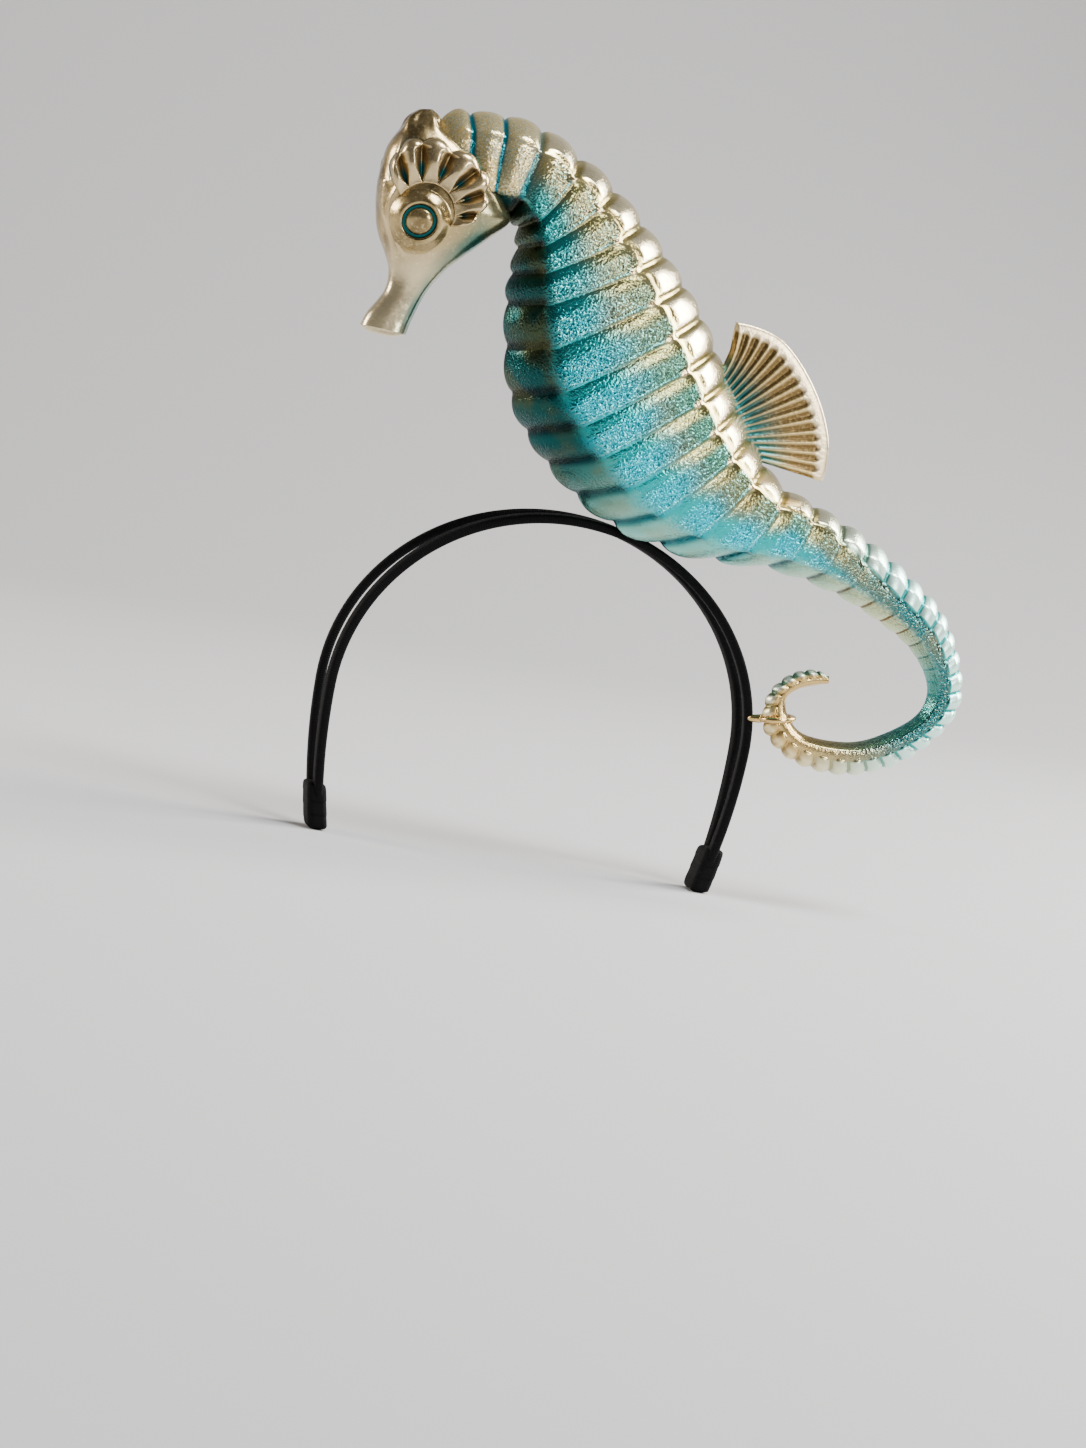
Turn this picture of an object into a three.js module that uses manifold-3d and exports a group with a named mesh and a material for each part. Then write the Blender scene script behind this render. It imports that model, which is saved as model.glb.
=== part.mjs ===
// A fascinator: a painted seahorse with a ribbed fin, carried on a double headband wrapped in ribbon.
// Millimetres, +Z up, +X to the wearer's left, the front at -Y. The origin is the crown of the head,
// under the top of the bands and midway between them.
import * as THREE from "three";
import Module from "manifold-3d";

const wasm = await Module();
wasm.setup();

const { lerp, degToRad } = THREE.MathUtils;

// Headband: an elliptical arch over the crown, then two legs that draw in below its widest level
const ARCH_HALF_WIDTH = 76.3;
const ARCH_RISE = 71.5;
const LEG_LENGTH = 52;
const LEG_BEND_RADIUS = 225;
const BAND_WIDTH = 6;
const BAND_THICKNESS = 3.4;
const BAND_CORNER = 1.1;
const BAND_STEPS = 40;
const CROWN_OFFSET = 11;
const END_OFFSET = 3.3;
const SPREAD_POWER = 2.4;
const REAR_EXTRA_WIDTH = 1;
const HEAD_HALF_LENGTH = 95;
const FRONT = -1;
const REAR = 1;

// Ribbon wrap that closes each end of the two bands
const WRAP_LENGTH = 15;
const WRAP_WALL = 1.2;
const WRAP_END = 1.6;
const WRAP_STEPS = 4;

// Clearance between neighbouring pieces
const GAP = 0.3;

// Seahorse: it stands across the head, just ahead of the front band, and leans to the wearer's left
const SEAHORSE_PLACE = new THREE.Vector3(-0.4, -17, -1);
const SEAHORSE_LEAN = degToRad(10.4);

// Trunk and tail, as sections from the nape of the neck to the tip of the tail.
// Each row gives the ends of one section on the back and on the belly, the half width of the section,
// how strongly the rings show as folds on the belly side, and the length of one ring along the back.
const BODY_ROWS = [
  { at: "hidden", backX: -54.5, backZ: 143.5, bellyX: -51.5, bellyZ: 118, width: 8, fold: 0.5, ring: 16 },
  { at: "nape", backX: -46, backZ: 149, bellyX: -45, bellyZ: 114, width: 13, fold: 0.5, ring: 15 },
  { at: "nape", backX: -39.5, backZ: 148.5, bellyX: -39, bellyZ: 113.5, width: 15, fold: 0.5, ring: 12.5 },
  { at: "neck", backX: -27, backZ: 147, bellyX: -33, bellyZ: 113, width: 16, fold: 0.6, ring: 13.5 },
  { at: "neck", backX: -13.5, backZ: 142.5, bellyX: -27.5, bellyZ: 111.5, width: 17, fold: 0.7, ring: 16 },
  { at: "neck", backX: 0.5, backZ: 132.5, bellyX: -24.5, bellyZ: 107, width: 18, fold: 0.8, ring: 18 },
  { at: "chest", backX: 14.5, backZ: 119.5, bellyX: -25, bellyZ: 99, width: 19.5, fold: 0.8, ring: 16.5 },
  { at: "chest", backX: 31.5, backZ: 97.5, bellyX: -28, bellyZ: 80.5, width: 23, fold: 0.8, ring: 13 },
  { at: "trunk", backX: 45, backZ: 75.5, bellyX: -26, bellyZ: 48, width: 25.5, fold: 0.9, ring: 13 },
  { at: "trunk", backX: 55, backZ: 51.5, bellyX: -11, bellyZ: 22, width: 26, fold: 1, ring: 11.4 },
  { at: "belly", backX: 63.5, backZ: 32.5, bellyX: 12, bellyZ: 1.5, width: 24, fold: 1.5, ring: 11 },
  { at: "seat", backX: 74.5, backZ: 16.5, bellyX: 43, bellyZ: -10.5, width: 19, fold: 1.7, ring: 12.4 },
  { at: "root", backX: 89, backZ: 8, bellyX: 70.5, bellyZ: -14.5, width: 14.5, fold: 0.9, ring: 12.6 },
  { at: "tail", backX: 107.5, backZ: -4, bellyX: 95, bellyZ: -23.5, width: 11, fold: 0.6, ring: 11.4 },
  { at: "tail", backX: 125.5, backZ: -19.5, bellyX: 114.5, bellyZ: -35.5, width: 9, fold: 0.4, ring: 9 },
  { at: "tail", backX: 138, backZ: -34, bellyX: 126, bellyZ: -46, width: 8, fold: 0.2, ring: 8 },
  { at: "curl", backX: 144.5, backZ: -55.5, bellyX: 131.5, bellyZ: -58.5, width: 6.6, fold: 0, ring: 7.7 },
  { at: "curl", backX: 141, backZ: -71, bellyX: 128, bellyZ: -68.5, width: 6.5, fold: 0, ring: 7.3 },
  { at: "curl", backX: 123.5, backZ: -85.5, bellyX: 115.5, bellyZ: -75.5, width: 6.3, fold: 0, ring: 7.2 },
  { at: "curl", backX: 102.5, backZ: -90.5, bellyX: 102, bellyZ: -78.5, width: 6.3, fold: 0, ring: 7.1 },
  { at: "curl", backX: 82, backZ: -85.5, bellyX: 85.5, bellyZ: -75.5, width: 5.6, fold: 0, ring: 6.8 },
  { at: "tie", backX: 70.5, backZ: -74, bellyX: 79, bellyZ: -68.5, width: 4.8, fold: 0, ring: 6.2 },
  { at: "tie", backX: 71, backZ: -61.5, bellyX: 78.5, bellyZ: -62, width: 4, fold: 0, ring: 5.6 },
  { at: "tip", backX: 79, backZ: -54, bellyX: 83, bellyZ: -58.5, width: 3.4, fold: 0, ring: 5 },
  { at: "tip", backX: 88, backZ: -52.5, bellyX: 89.5, bellyZ: -57, width: 2.6, fold: 0, ring: 4.4 },
  { at: "end", backX: 93, backZ: -54.5, bellyX: 93, bellyZ: -56.5, width: 1.2, fold: 0, ring: 4 },
];

// Corners of half a body section. Height runs from the belly at -1 to the back at 1, side is a share of
// the half width, relief is the share of the ring relief there, and steps divides the stretch that follows.
const BODY_SECTION = [
  { corner: "back", turn: 0, height: 1, side: 0, relief: 1, steps: 3 },
  { corner: "shoulder ridge", turn: 54, height: 0.6, side: 0.68, relief: 0.7, steps: 3 },
  { corner: "flank ridge", turn: 124, height: -0.58, side: 0.86, relief: 0.3, steps: 2 },
  { corner: "keel", turn: 180, height: -1, side: 0, relief: 0.8, steps: 0 },
];
const SECTION_ROUNDNESS = 0.45;
const RING_RELIEF = 0.16;
const RING_STEPS = 3;
const GROOVE_SHARE = 0.6;
const TRACE_STEPS = 800;

// Head, as level sections from the mouth to the coronet. Each row gives the ends of one section on the
// face and at the rear of the head, and its half width.
const HEAD_ROWS = [
  { place: "mouth", faceX: -80, faceZ: 73.5, rearX: -64.5, rearZ: 70, width: 6.2 },
  { place: "lip", faceX: -77.5, faceZ: 78, rearX: -62.5, rearZ: 75, width: 5.9 },
  { place: "snout", faceX: -71.5, faceZ: 85.5, rearX: -57.5, rearZ: 84.5, width: 5.8 },
  { place: "snout", faceX: -70, faceZ: 92.5, rearX: -51.5, rearZ: 91.5, width: 7 },
  { place: "jaw", faceX: -71.5, faceZ: 99, rearX: -44.5, rearZ: 97, width: 10 },
  { place: "jaw", faceX: -73.5, faceZ: 104.5, rearX: -35.5, rearZ: 103.5, width: 13.5 },
  { place: "eye", faceX: -74.5, faceZ: 110, rearX: -27.5, rearZ: 110, width: 16 },
  { place: "cheek", faceX: -74.5, faceZ: 116, rearX: -27, rearZ: 116, width: 16.5 },
  { place: "brow", faceX: -74, faceZ: 123.5, rearX: -30.5, rearZ: 123.5, width: 16 },
  { place: "temple", faceX: -72.5, faceZ: 130.5, rearX: -34, rearZ: 130.5, width: 14.5 },
  { place: "forehead", faceX: -70.5, faceZ: 136.5, rearX: -40.5, rearZ: 136.5, width: 12 },
  { place: "coronet", faceX: -66.5, faceZ: 142, rearX: -48.5, rearZ: 142, width: 9 },
  { place: "coronet", faceX: -64.5, faceZ: 146.5, rearX: -52.5, rearZ: 146.5, width: 6.5 },
  { place: "crown", faceX: -61, faceZ: 150, rearX: -55.5, rearZ: 150, width: 3 },
];
const FACE_POWER = 2.2;
const REAR_POWER = 3.6;
const HEAD_STEPS = 24;
const HEAD_SIDES = 24;
const MOUTH_DOME = 2.2;

// Eye: a dome that stands in a raised ring on each side of the head
const EYE = { x: -61.5, z: 110, radius: 5, height: 2.6, base: 1.2, sides: 16, steps: 4 };
const EYE_RING = { inner: 5.8, outer: 8.6, rise: 1.3, base: 2, sides: 20 };

// Cheek fan: a scalloped plate on each side of the head, grooved between its lobes
const FAN = { x: -59.5, z: 113.3, inner: 10.5, rings: 4, lobeSteps: 4, rimThickness: 2.4 };
const FAN_INNER_THICKNESS = 0.9;
const FAN_GROOVE = 1.1;
const FAN_SCALLOP = 0.07;
// The direction of each groove round the fan and the reach of its rim there
const FAN_ROWS = [
  { turn: -24, reach: 14.5 },
  { turn: -6, reach: 20.5 },
  { turn: 17, reach: 23 },
  { turn: 40, reach: 25 },
  { turn: 67, reach: 24 },
  { turn: 100, reach: 26 },
  { turn: 122, reach: 23.5 },
  { turn: 140, reach: 19 },
];

// Dorsal fin: a ribbed fan ruled from a root on the back to a smooth rim
const FIN_ROOT = [
  { x: 51.5, z: 56 },
  { x: 59.5, z: 40.5 },
  { x: 66.5, z: 24.5 },
];
const FIN_RIM = [
  { x: 57.5, z: 75.5 },
  { x: 74, z: 68.5 },
  { x: 86, z: 52 },
  { x: 92, z: 33.5 },
  { x: 91, z: 17 },
];
const FIN_RIBS = 16;
const FIN_RIB_STEPS = 2;
const FIN_ROOT_THICKNESS = 3.2;
const FIN_RIM_THICKNESS = 2.2;
const FIN_RIB_RELIEF = 0.8;
const FIN_RIM_SHARE = 0.88;
const FIN_RINGS = [0, 0.3, 0.6, 0.86, FIN_RIM_SHARE, 1];

// Tail tie: a wire ring round the tail with a prong that reaches to the front band
const TIE = { row: 21.25, wire: 1.1, sides: 6, steps: 14, clearance: 0.45 };
const PRONG = { sides: 8 };
// The prong after it leaves the ring, up to its tip in front of the band's edge
const PRONG_ROWS = [
  { x: 66.6, y: 1.2, z: -69.4, radius: 1.1 },
  { x: 65, y: 2, z: -69.4, radius: 1.1 },
  { x: 64.2, y: 2, z: -69.4, radius: 0.6 },
];

const GOLD = new THREE.MeshStandardMaterial({ color: 0xb99a63, roughness: 0.35, metalness: 0.8 });
const TURQUOISE = new THREE.MeshStandardMaterial({ color: 0x2fa6ad, roughness: 0.4, metalness: 0.6 });
const BRONZE = new THREE.MeshStandardMaterial({ color: 0xa5885a, roughness: 0.35, metalness: 0.8 });
const RIBBON = new THREE.MeshStandardMaterial({ color: 0x0c0b0c, roughness: 0.8, metalness: 0 });

// Solids

// A closed surface through rings of equal length, with a fan of faces over the first and last ring
function loft(rings) {
  const count = rings[0].length;
  const points = rings.flat();
  const index = [];
  for (let r = 0; r + 1 < rings.length; r++) {
    for (let i = 0; i < count; i++) {
      const a = r * count + i;
      const b = r * count + ((i + 1) % count);
      index.push(a, b, a + count, b, b + count, a + count);
    }
  }
  const capRings = [rings[0], rings[rings.length - 1]];
  capRings.forEach((ring, end) => {
    const start = end ? (rings.length - 1) * count : 0;
    const centre = points.length;
    points.push(ring.reduce((sum, p) => sum.add(p), new THREE.Vector3()).divideScalar(count));
    for (let i = 0; i < count; i++) {
      const a = start + i;
      const b = start + ((i + 1) % count);
      index.push(...(end ? [a, b, centre] : [b, a, centre]));
    }
  });
  return facingOut(new THREE.BufferGeometry().setFromPoints(points).setIndex(index));
}

// The same surface with its faces turned to point out of the volume that they enclose
function facingOut(geometry) {
  const index = geometry.index.array;
  const corner = [new THREE.Vector3(), new THREE.Vector3(), new THREE.Vector3()];
  let volume = 0;
  for (let i = 0; i < index.length; i += 3) {
    corner.forEach((p, k) => p.fromBufferAttribute(geometry.attributes.position, index[i + k]));
    volume += corner[0].dot(corner[1].cross(corner[2]));
  }
  if (volume < 0) {
    for (let i = 0; i < index.length; i += 3) {
      [index[i], index[i + 1]] = [index[i + 1], index[i]];
    }
  }
  return geometry;
}

// A solid for cutting and joining
function solidOf(geometry) {
  return new wasm.Manifold(
    new wasm.Mesh({
      numProp: 3,
      vertProperties: new Float32Array(geometry.attributes.position.array),
      triVerts: new Uint32Array(geometry.index.array),
    }),
  );
}

// The surface of a cut or joined solid
function geometryOf(solid) {
  const { vertProperties, triVerts } = solid.getMesh();
  const geometry = new THREE.BufferGeometry();
  geometry.setAttribute("position", new THREE.BufferAttribute(vertProperties, 3));
  geometry.setIndex(new THREE.BufferAttribute(triVerts, 1));
  return geometry;
}

function named(name, geometry, material) {
  const mesh = new THREE.Mesh(geometry, material);
  mesh.name = name;
  return mesh;
}

// A smooth curve through table rows, so that share i / (rows - 1) lies on row i
function curveThrough(rows, toPoint) {
  return new THREE.CatmullRomCurve3(rows.map(toPoint), false, "catmullrom", 0.5);
}

// Headband

// A point on a band's inner face. Turn runs from -1 at the wearer's right end to 1 at the left end.
function bandPoint(turn, side) {
  const halfWidth = ARCH_HALF_WIDTH + (side === REAR ? REAR_EXTRA_WIDTH : 0);
  const archLength = (Math.PI / 2) * ((halfWidth + ARCH_RISE) / 2);
  const along = Math.abs(turn) * (archLength + LEG_LENGTH);
  let x = halfWidth;
  let z = -ARCH_RISE;
  if (along < archLength) {
    const angle = (along / archLength) * (Math.PI / 2);
    x = halfWidth * Math.sin(angle);
    z = -ARCH_RISE * (1 - Math.cos(angle));
  } else {
    const below = along - archLength;
    x = halfWidth - below ** 2 / (2 * LEG_BEND_RADIUS);
    z = -ARCH_RISE - below;
  }
  const spread = 1 - (-z / (ARCH_RISE + LEG_LENGTH)) ** SPREAD_POWER;
  const y = side * (END_OFFSET + (CROWN_OFFSET - END_OFFSET) * spread);
  return new THREE.Vector3(Math.sign(turn) * x, y, z);
}

// The band's own axes at a point: along it, out of the head, and across its width
function bandAxes(turn, side) {
  const step = 0.004;
  const place = bandPoint(turn, side);
  const before = bandPoint(Math.max(turn - step, -1), side);
  const along = bandPoint(Math.min(turn + step, 1), side).sub(before).normalize();
  const above = Math.max(place.z + ARCH_RISE, 0);
  const out = new THREE.Vector3(
    place.x / ARCH_HALF_WIDTH ** 2,
    place.y / HEAD_HALF_LENGTH ** 2,
    above / ARCH_RISE ** 2,
  );
  const across = new THREE.Vector3().crossVectors(along, out).normalize();
  out.crossVectors(across, along).normalize();
  return { place, out, across };
}

// A rectangle with cut corners, as [across, out] pairs, standing on the inner face
function bandSection(grow) {
  const wide = BAND_WIDTH / 2 + grow;
  const low = -grow;
  const high = BAND_THICKNESS + grow;
  const cut = BAND_CORNER;
  return [
    [wide - cut, low],
    [wide, low + cut],
    [wide, high - cut],
    [wide - cut, high],
    [cut - wide, high],
    [-wide, high - cut],
    [-wide, low + cut],
    [cut - wide, low],
  ];
}

function sweepBand(section, side, turns) {
  return loft(
    turns.map((turn) => {
      const { place, out, across } = bandAxes(turn, side);
      return section.map(([a, o]) => place.clone().addScaledVector(across, a).addScaledVector(out, o));
    }),
  );
}

function stepsBetween(from, to, steps) {
  return Array.from({ length: steps + 1 }, (_, i) => lerp(from, to, i / steps));
}

function makeBand(side, grow = 0) {
  return sweepBand(bandSection(grow), side, stepsBetween(-1, 1, BAND_STEPS));
}

// One sleeve round both bands' ends, closed below
function makeWrap(end) {
  const legTurn = LEG_LENGTH / ((Math.PI / 2) * ((ARCH_HALF_WIDTH + ARCH_RISE) / 2) + LEG_LENGTH);
  const startTurn = 1 - (legTurn * WRAP_LENGTH) / LEG_LENGTH;
  const wide = END_OFFSET + BAND_WIDTH / 2 + GAP + WRAP_WALL;
  const low = -GAP - WRAP_WALL;
  const high = BAND_THICKNESS + GAP + WRAP_WALL + REAR_EXTRA_WIDTH;
  const cut = 2 * BAND_CORNER;
  const outline = [
    [wide - cut, low],
    [wide, low + cut],
    [wide, high - cut],
    [wide - cut, high],
    [cut - wide, high],
    [-wide, high - cut],
    [-wide, low + cut],
    [cut - wide, low],
  ];
  const tip = bandPoint(end, FRONT);
  const rings = stepsBetween(startTurn, 1, WRAP_STEPS).map((turn) => {
    const place = bandPoint(end * turn, FRONT);
    return outline.map(([a, o]) => new THREE.Vector3(place.x + end * o, a, place.z));
  });
  rings.push(rings[rings.length - 1].map((p) => new THREE.Vector3(p.x, p.y, tip.z - GAP - WRAP_END)));
  let sleeve = solidOf(loft(rings));
  for (const side of [FRONT, REAR]) {
    const stub = stepsBetween(end * (startTurn - 0.05), end * (1 + 1e-3), WRAP_STEPS + 2);
    sleeve = sleeve.subtract(solidOf(sweepBand(bandSection(GAP), side, stub)));
  }
  return geometryOf(sleeve);
}

// Seahorse trunk and tail

const backCurve = curveThrough(BODY_ROWS, (r) => new THREE.Vector3(r.backX, 0, r.backZ));
const bellyCurve = curveThrough(BODY_ROWS, (r) => new THREE.Vector3(r.bellyX, 0, r.bellyZ));
const sizeCurve = curveThrough(BODY_ROWS, (r) => new THREE.Vector3(r.width, r.fold, r.ring));

// One body section: its middle, half the line from belly to back, its half width, folds and ring length
function bodyFrame(share) {
  const back = backCurve.getPoint(share);
  const belly = bellyCurve.getPoint(share);
  const size = sizeCurve.getPoint(share);
  const half = back.clone().sub(belly).multiplyScalar(0.5);
  return { middle: belly.add(half), half, width: size.x, fold: Math.max(size.y, 0), ring: size.z };
}

// Shares of the body at which each ring starts and is divided, counted along the back
function ringStations() {
  const stations = [];
  let turns = 0;
  let last = backCurve.getPoint(0);
  for (let i = 0; i <= TRACE_STEPS; i++) {
    const share = i / TRACE_STEPS;
    const here = backCurve.getPoint(share);
    turns += here.distanceTo(last) / bodyFrame(share).ring;
    last = here;
    if (turns * RING_STEPS >= stations.length) stations.push({ share, step: stations.length % RING_STEPS });
  }
  stations.push({ share: 1, step: 0 });
  return stations;
}

// Half a section from back to keel, as height, side and ring relief
function bodyOutline() {
  const outline = [];
  BODY_SECTION.forEach((from, i) => {
    const to = BODY_SECTION[i + 1] ?? from;
    for (let s = 0; s < Math.max(from.steps, 1); s++) {
      const t = from.steps ? s / from.steps : 0;
      const turn = degToRad(lerp(from.turn, to.turn, t));
      outline.push({
        height: lerp(lerp(from.height, to.height, t), Math.cos(turn), SECTION_ROUNDNESS),
        side: lerp(lerp(from.side, to.side, t), Math.sin(turn), SECTION_ROUNDNESS),
        relief: lerp(from.relief, to.relief, t),
      });
    }
  });
  return outline;
}

function makeBody() {
  const halfOutline = bodyOutline();
  const mirrored = halfOutline.slice(1, -1).reverse();
  const outline = [...halfOutline, ...mirrored.map((p) => ({ ...p, side: -p.side }))];
  const rings = ringStations().map(({ share, step }) => {
    const { middle, half, width, fold, ring } = bodyFrame(share);
    const depth = half.length();
    const crest = step ? 1 - GROOVE_SHARE : -GROOVE_SHARE;
    return outline.map(({ height, side, relief }) => {
      const strength = relief * (height < 0 ? lerp(1, fold, -height) : 1);
      const rise = RING_RELIEF * ring * crest * strength;
      const reach = Math.hypot(height * depth, side * width);
      const grown = 1 + rise / reach;
      const point = middle.clone().addScaledVector(half, height * grown);
      point.y = side * width * grown;
      return point;
    });
  });
  return loft(rings);
}

// Seahorse head

const faceCurve = curveThrough(HEAD_ROWS, (r) => new THREE.Vector3(r.faceX, r.width, r.faceZ));
const rearCurve = curveThrough(HEAD_ROWS, (r) => new THREE.Vector3(r.rearX, r.width, r.rearZ));

function headRing(share, grow) {
  const face = faceCurve.getPoint(share);
  const rear = rearCurve.getPoint(share);
  const half = rear.clone().sub(face).multiplyScalar(0.5).setY(0);
  const middle = face.clone().add(rear).multiplyScalar(0.5).setY(0);
  const stretch = 1 + grow / half.length();
  return Array.from({ length: HEAD_SIDES }, (_, i) => {
    const turn = (i / HEAD_SIDES) * 2 * Math.PI;
    const power = Math.cos(turn) < 0 ? FACE_POWER : REAR_POWER;
    const along = Math.sign(Math.cos(turn)) * Math.abs(Math.cos(turn)) ** (2 / power);
    const side = Math.sign(Math.sin(turn)) * Math.abs(Math.sin(turn)) ** (2 / power);
    const point = middle.clone().addScaledVector(half, along * stretch);
    point.y = side * (face.y + grow);
    return point;
  });
}

function makeHead(grow = 0) {
  const rings = stepsBetween(0, 1, HEAD_STEPS).map((share) => headRing(share, grow));
  const snoutAxis = faceCurve.getTangent(0).add(rearCurve.getTangent(0)).setY(0).normalize();
  const lip = rings[0];
  const centre = lip.reduce((sum, p) => sum.add(p), new THREE.Vector3()).divideScalar(lip.length);
  const dome = lip.map((p) => p.clone().lerp(centre, 0.45).addScaledVector(snoutAxis, -MOUTH_DOME));
  return solidOf(loft([dome, ...rings]));
}

// Half width of the head's side at a place on it
function headSide(x, z) {
  let low = 0;
  let high = 1;
  for (let i = 0; i < 30; i++) {
    const middle = (low + high) / 2;
    const level = (faceCurve.getPoint(middle).z + rearCurve.getPoint(middle).z) / 2;
    if (level < z) low = middle;
    else high = middle;
  }
  const face = faceCurve.getPoint(low);
  const rear = rearCurve.getPoint(low);
  const along = THREE.MathUtils.clamp((2 * x - face.x - rear.x) / (rear.x - face.x), -0.97, 0.97);
  const power = along < 0 ? FACE_POWER : REAR_POWER;
  return face.y * (1 - Math.abs(along) ** power) ** (1 / power);
}

// A turned shape standing out from one side of the head, from a profile of [radius, height] pairs
function turnedOnSide(profile, sides, x, y, z, side) {
  const lathe = new THREE.LatheGeometry(
    profile.map(([radius, height]) => new THREE.Vector2(radius, height)),
    sides,
  );
  const rings = profile.map((_, p) => Array.from({ length: sides }, (_, s) => {
    const point = new THREE.Vector3().fromBufferAttribute(lathe.attributes.position, s * profile.length + p);
    return new THREE.Vector3(x + point.x, side * (y + point.y), z + point.z);
  }));
  return loft(rings);
}

function makeEye(side, grow = 0) {
  const y = headSide(EYE.x, EYE.z) - EYE.base;
  const dome = stepsBetween(0, 1, EYE.steps).map((t) => [
    (EYE.radius + grow) * Math.cos((t * Math.PI) / 2.2),
    EYE.base + (EYE.height + grow) * Math.sin((t * Math.PI) / 2),
  ]);
  const profile = [[EYE.radius + grow, -grow], ...dome];
  return turnedOnSide(profile, EYE.sides, EYE.x, y, EYE.z, side);
}

function makeEyeRing(side, grow = 0) {
  const y = headSide(EYE.x, EYE.z);
  const crest = (EYE_RING.inner + EYE_RING.outer) / 2;
  const profile = [
    [EYE_RING.outer + grow, -EYE_RING.base],
    [EYE_RING.outer + grow, grow],
    [crest, EYE_RING.rise + grow],
    [EYE_RING.inner, EYE_RING.rise * 0.6 + grow],
  ];
  return turnedOnSide(profile, EYE_RING.sides, EYE.x, y, EYE.z, side);
}

// Reach of the fan's rim and depth of its lobes at a place between two grooves
function fanEdge(row, t) {
  const from = FAN_ROWS[row];
  const to = FAN_ROWS[Math.min(row + 1, FAN_ROWS.length - 1)];
  const lobe = Math.sin(t * Math.PI);
  return {
    turn: degToRad(lerp(from.turn, to.turn, t)),
    reach: lerp(from.reach, to.reach, t) * (1 - FAN_SCALLOP * (1 - lobe)),
    lobe: Math.sqrt(lobe),
  };
}

function makeFan(side, grow = 0) {
  const edges = [];
  for (let row = 0; row + 1 < FAN_ROWS.length; row++) {
    for (let s = 0; s < FAN.lobeSteps; s++) edges.push(fanEdge(row, s / FAN.lobeSteps));
  }
  edges.push(fanEdge(FAN_ROWS.length - 1, 0));
  const rings = edges.map(({ turn, reach, lobe }) => {
    const under = [];
    const upper = [];
    stepsBetween(0, 1, FAN.rings - 1).forEach((t) => {
      const radius = lerp(FAN.inner - grow, reach + grow, t);
      const x = FAN.x + radius * Math.cos(turn);
      const z = FAN.z + radius * Math.sin(turn);
      const y = headSide(x, z);
      const groove = FAN_GROOVE * (1 - lobe) * Math.sin(Math.PI * Math.min(t, 0.8));
      const thick = lerp(FAN_INNER_THICKNESS, FAN.rimThickness, t) - groove;
      under.push(new THREE.Vector3(x, side * (y - FAN_INNER_THICKNESS), z));
      upper.push(new THREE.Vector3(x, side * (y + thick + grow), z));
    });
    return [...under, ...upper.reverse()];
  });
  return loft(rings);
}

// Dorsal fin

function makeFin(grow = 0) {
  const root = curveThrough(FIN_ROOT, (p) => new THREE.Vector3(p.x, 0, p.z));
  const rim = curveThrough(FIN_RIM, (p) => new THREE.Vector3(p.x, 0, p.z));
  const columns = FIN_RIBS * FIN_RIB_STEPS;
  const rings = stepsBetween(0, 1, columns).map((share, column) => {
    const near = [];
    const far = [];
    const rib = column % FIN_RIB_STEPS && column < columns ? 1 : 0;
    FIN_RINGS.forEach((t) => {
      const point = root.getPoint(share).lerp(rim.getPoint(share), t);
      const ribbed = t > 0 && t < FIN_RIM_SHARE ? FIN_RIB_RELIEF * (rib - 1) : 0;
      const half = lerp(FIN_ROOT_THICKNESS, FIN_RIM_THICKNESS, t) / 2 + ribbed / 2 + grow;
      near.push(point.clone().setY(-half));
      far.push(point.clone().setY(half));
    });
    return [...near, ...far.reverse()];
  });
  return loft(rings);
}

// Tail tie

function makeTie() {
  const { middle, half, width } = bodyFrame(TIE.row / (BODY_ROWS.length - 1));
  const ahead = bodyFrame((TIE.row + 0.2) / (BODY_ROWS.length - 1)).middle;
  const along = ahead.sub(middle).normalize();
  const depth = half.length() + TIE.clearance + TIE.wire;
  const wide = width + TIE.clearance + TIE.wire;
  const outward = half.clone().normalize();
  const loop = Array.from({ length: TIE.steps }, (_, i) => {
    const turn = (i / TIE.steps) * 2 * Math.PI;
    const radial = outward.clone().multiplyScalar(Math.cos(turn)).setY(Math.sin(turn));
    const place = middle.clone().addScaledVector(outward, depth * Math.cos(turn));
    place.y = wide * Math.sin(turn);
    return Array.from({ length: TIE.sides }, (_, s) => {
      const roll = (s / TIE.sides) * 2 * Math.PI;
      const point = place.clone().addScaledVector(radial, TIE.wire * Math.cos(roll));
      return point.addScaledVector(along, TIE.wire * Math.sin(roll));
    });
  });
  const start = middle.clone().addScaledVector(outward, depth);
  const prong = [{ ...start, radius: TIE.wire }, ...PRONG_ROWS].map(({ x, y, z, radius }) => {
    return Array.from({ length: PRONG.sides }, (_, s) => {
      const roll = (s / PRONG.sides) * 2 * Math.PI;
      return new THREE.Vector3(x, y + radius * Math.cos(roll), z + radius * Math.sin(roll));
    });
  });
  return solidOf(closedLoop(loop)).add(solidOf(loft(prong)));
}

// A closed tube through rings that return to the first one
function closedLoop(rings) {
  const count = rings[0].length;
  const index = [];
  rings.forEach((_, r) => {
    const next = ((r + 1) % rings.length) * count;
    for (let i = 0; i < count; i++) {
      const a = r * count + i;
      const b = r * count + ((i + 1) % count);
      const c = next + i;
      const d = next + ((i + 1) % count);
      index.push(a, b, c, b, d, c);
    }
  });
  return facingOut(new THREE.BufferGeometry().setFromPoints(rings.flat()).setIndex(index));
}

// Assembly

// The front band with clearance, moved into the seahorse's own frame
function bandSlot(seahorse) {
  const slot = makeBand(FRONT, GAP);
  seahorse.updateMatrixWorld(true);
  return solidOf(slot.applyMatrix4(seahorse.matrixWorld.clone().invert()));
}

const fascinator = new THREE.Group();
fascinator.add(named("band_front", makeBand(FRONT), RIBBON));
fascinator.add(named("band_rear", makeBand(REAR), RIBBON));
fascinator.add(named("end_wrap_right", makeWrap(-1), RIBBON));
fascinator.add(named("end_wrap_left", makeWrap(1), RIBBON));

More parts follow.
